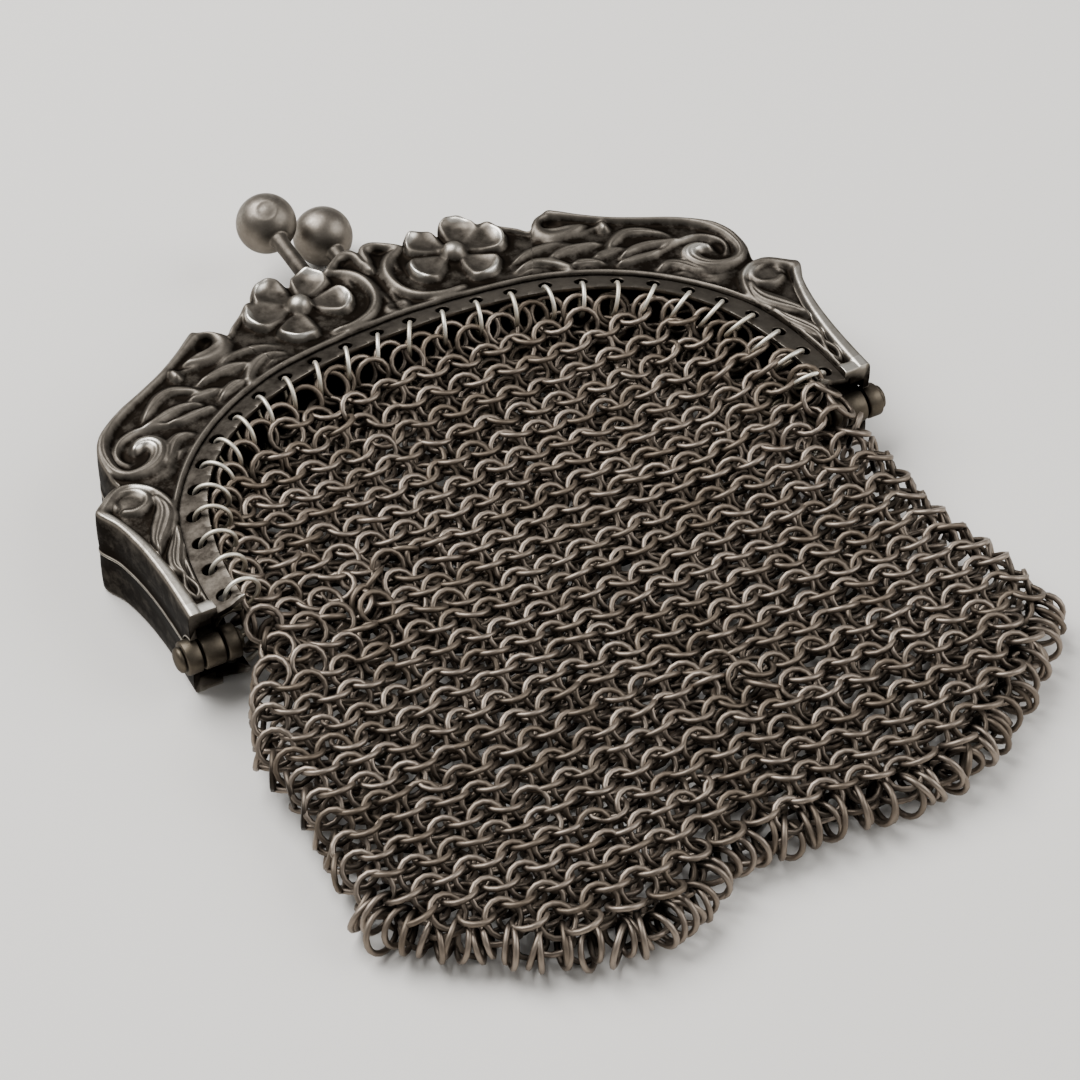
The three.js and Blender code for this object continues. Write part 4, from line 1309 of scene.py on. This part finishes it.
def jump_rings(name, up, seed, rng):
    """Circles across the flange, whose middle lies in from the hole and below it by Pythagoras."""
    _, inward, along = lip_frame(HOLE_DEG)
    flank = np.cos(np.radians(HOLE_DEG)) ** 2
    from_hole = hole_distance(HOLE_DEG) - distance_at(LIP_TABLE, HOLE_DEG) + JUMP_IN * flank
    below = np.sqrt(np.maximum(JUMP_RADIUS ** 2 - from_hole ** 2, LEAST_BELOW ** 2))
    to_left = np.clip((HOLE_DEG - STRAIGHT_DEG) / SLANT_OVER_DEG, 0, 1) * ease(HOLE_DEG, *SLANT_FADE_DEG)
    slant = (JUMP_SLANT * to_left)[:, None]
    across = inward * np.cos(slant) + along * np.sin(slant)
    lean = (JUMP_LEAN * np.clip((STRAIGHT_DEG - HOLE_DEG) / LEAN_OVER_DEG, 0, 1))[:, None]
    rise = np.tile([0.0, 0.0, float(up)], (HOLE_COUNT, 1))
    ring_up = rise * np.cos(lean) - along * np.sin(lean)
    hole = np.column_stack(on_ray(HOLE_DEG, hole_distance(HOLE_DEG)))
    hole_level = HALF_DEPTH - FLANGE_DROP + (1 - HOLE_PLACE) * LIP_RISE - SHEET / 2
    centre = at_level(hole, hole_level, up) + from_hole[:, None] * across
    centre -= below[:, None] * ring_up
    radius = np.full(HOLE_COUNT, JUMP_RADIUS)
    links(name, centre, shaken(across, JUMP_SHAKE, rng), ring_up, radius, JUMP_WIRE, rise, bright_wire,
          JUMP_STEPS, JUMP_SIDES, seed)


def hanging_links(name, up, seed, rng):
    """One link in each jump ring, leaning half-way between the bag's direction and upright."""
    lip, inward, _ = lip_frame(HOLE_DEG)
    rise = np.tile([0.0, 0.0, float(up)], (HOLE_COUNT, 1))
    centre = at_level(lip, HALF_DEPTH - HANG_DROP, up) + hang_in(HOLE_DEG)[:, None] * inward
    up_bag = unit(np.tile([0.0, 1.0, 0.0], (HOLE_COUNT, 1)) - HANG_INWARD * inward)
    along = unit(np.cross(up_bag, rise))
    second = up_bag * math.cos(HANG_LEAN) + rise * math.sin(HANG_LEAN)
    centre = centre + rng.normal(0, HANG_SHAKE, centre.shape)
    along = shaken(along, HANG_ALONG_SHAKE, rng)
    second = shaken(second, HANG_LEAN_SHAKE, rng)
    radius = np.full(HOLE_COUNT, HANG_RADIUS)
    links(name, centre, along, second, radius, WIRE_RADIUS, rise, mail_wire, HANG_STEPS, HANG_SIDES, seed)


for side_name, up, seed in (("front", 1, 21), ("back", -1, 22)):
    rng = np.random.default_rng(seed)
    jump_rings(f"{side_name}_jump_rings", up, seed, rng)
    hanging_links(f"{side_name}_hanging_links", up, seed, rng)

# %% [markdown]
# Along the bottom edge, pairs of links stand upright across the edge and close the bag. They follow the same
# outline that ends the rows, and are shaken more than the rest, because nothing holds their lower ends.

# %% Links that close the bottom edge
CLOSING_PITCH, PAIR_HALF, PAIR_SHAKE = 2.0, 0.27, 0.15
CLOSING_RADIUS, CLOSING_RADIUS_SHAKE = 1.5, 0.1
CLOSING_STEPS, CLOSING_SIDES = 18, 6
CLOSING_IN, CLOSING_Z, CLOSING_SHAKE = 1.5, 2.2, 0.25
OUTWARD_SHAKE, RISE_SHAKE = 0.25, 0.2
EDGE_STEPS, EDGE_SPARE = 10, 0.5
BAG_MIDDLE = (0, -15)
CLOSING_SEED = 31


def closing_links():
    """Pairs of upright circles across the edge, evenly spaced along it."""
    rng = np.random.default_rng(CLOSING_SEED)
    path = spline(BAG_EDGE, EDGE_STEPS)
    length = distances_along(*path.T)
    pairs = int(length[-1] / CLOSING_PITCH)
    place = np.linspace(EDGE_SPARE, length[-1] - EDGE_SPARE, pairs)
    place = np.concatenate([place - PAIR_HALF, place + PAIR_HALF]) + rng.normal(0, PAIR_SHAKE, 2 * pairs)
    edge, ahead, behind = (np.column_stack([np.interp(at, length, path[:, axis]) for axis in (0, 1)])
                           for at in (place, place + 1, place - 1))
    along = unit(ahead - behind)
    outward = np.column_stack([-along[:, 1], along[:, 0], np.zeros(2 * pairs)])
    outward *= np.where((outward[:, :2] * (edge - BAG_MIDDLE)).sum(axis=1) > 0, 1, -1)[:, None]
    centre = np.column_stack([edge, np.full(2 * pairs, CLOSING_Z)]) - CLOSING_IN * outward
    centre += rng.normal(0, CLOSING_SHAKE, centre.shape)
    rise = np.tile([0.0, 0.0, 1.0], (2 * pairs, 1))
    first, second = shaken(outward, OUTWARD_SHAKE, rng), shaken(rise, RISE_SHAKE, rng)
    radius = CLOSING_RADIUS + rng.normal(0, CLOSING_RADIUS_SHAKE, 2 * pairs)
    links("bottom_links", centre, first, second, radius, WIRE_RADIUS, outward, mail_wire, CLOSING_STEPS,
          CLOSING_SIDES, CLOSING_SEED)


closing_links()
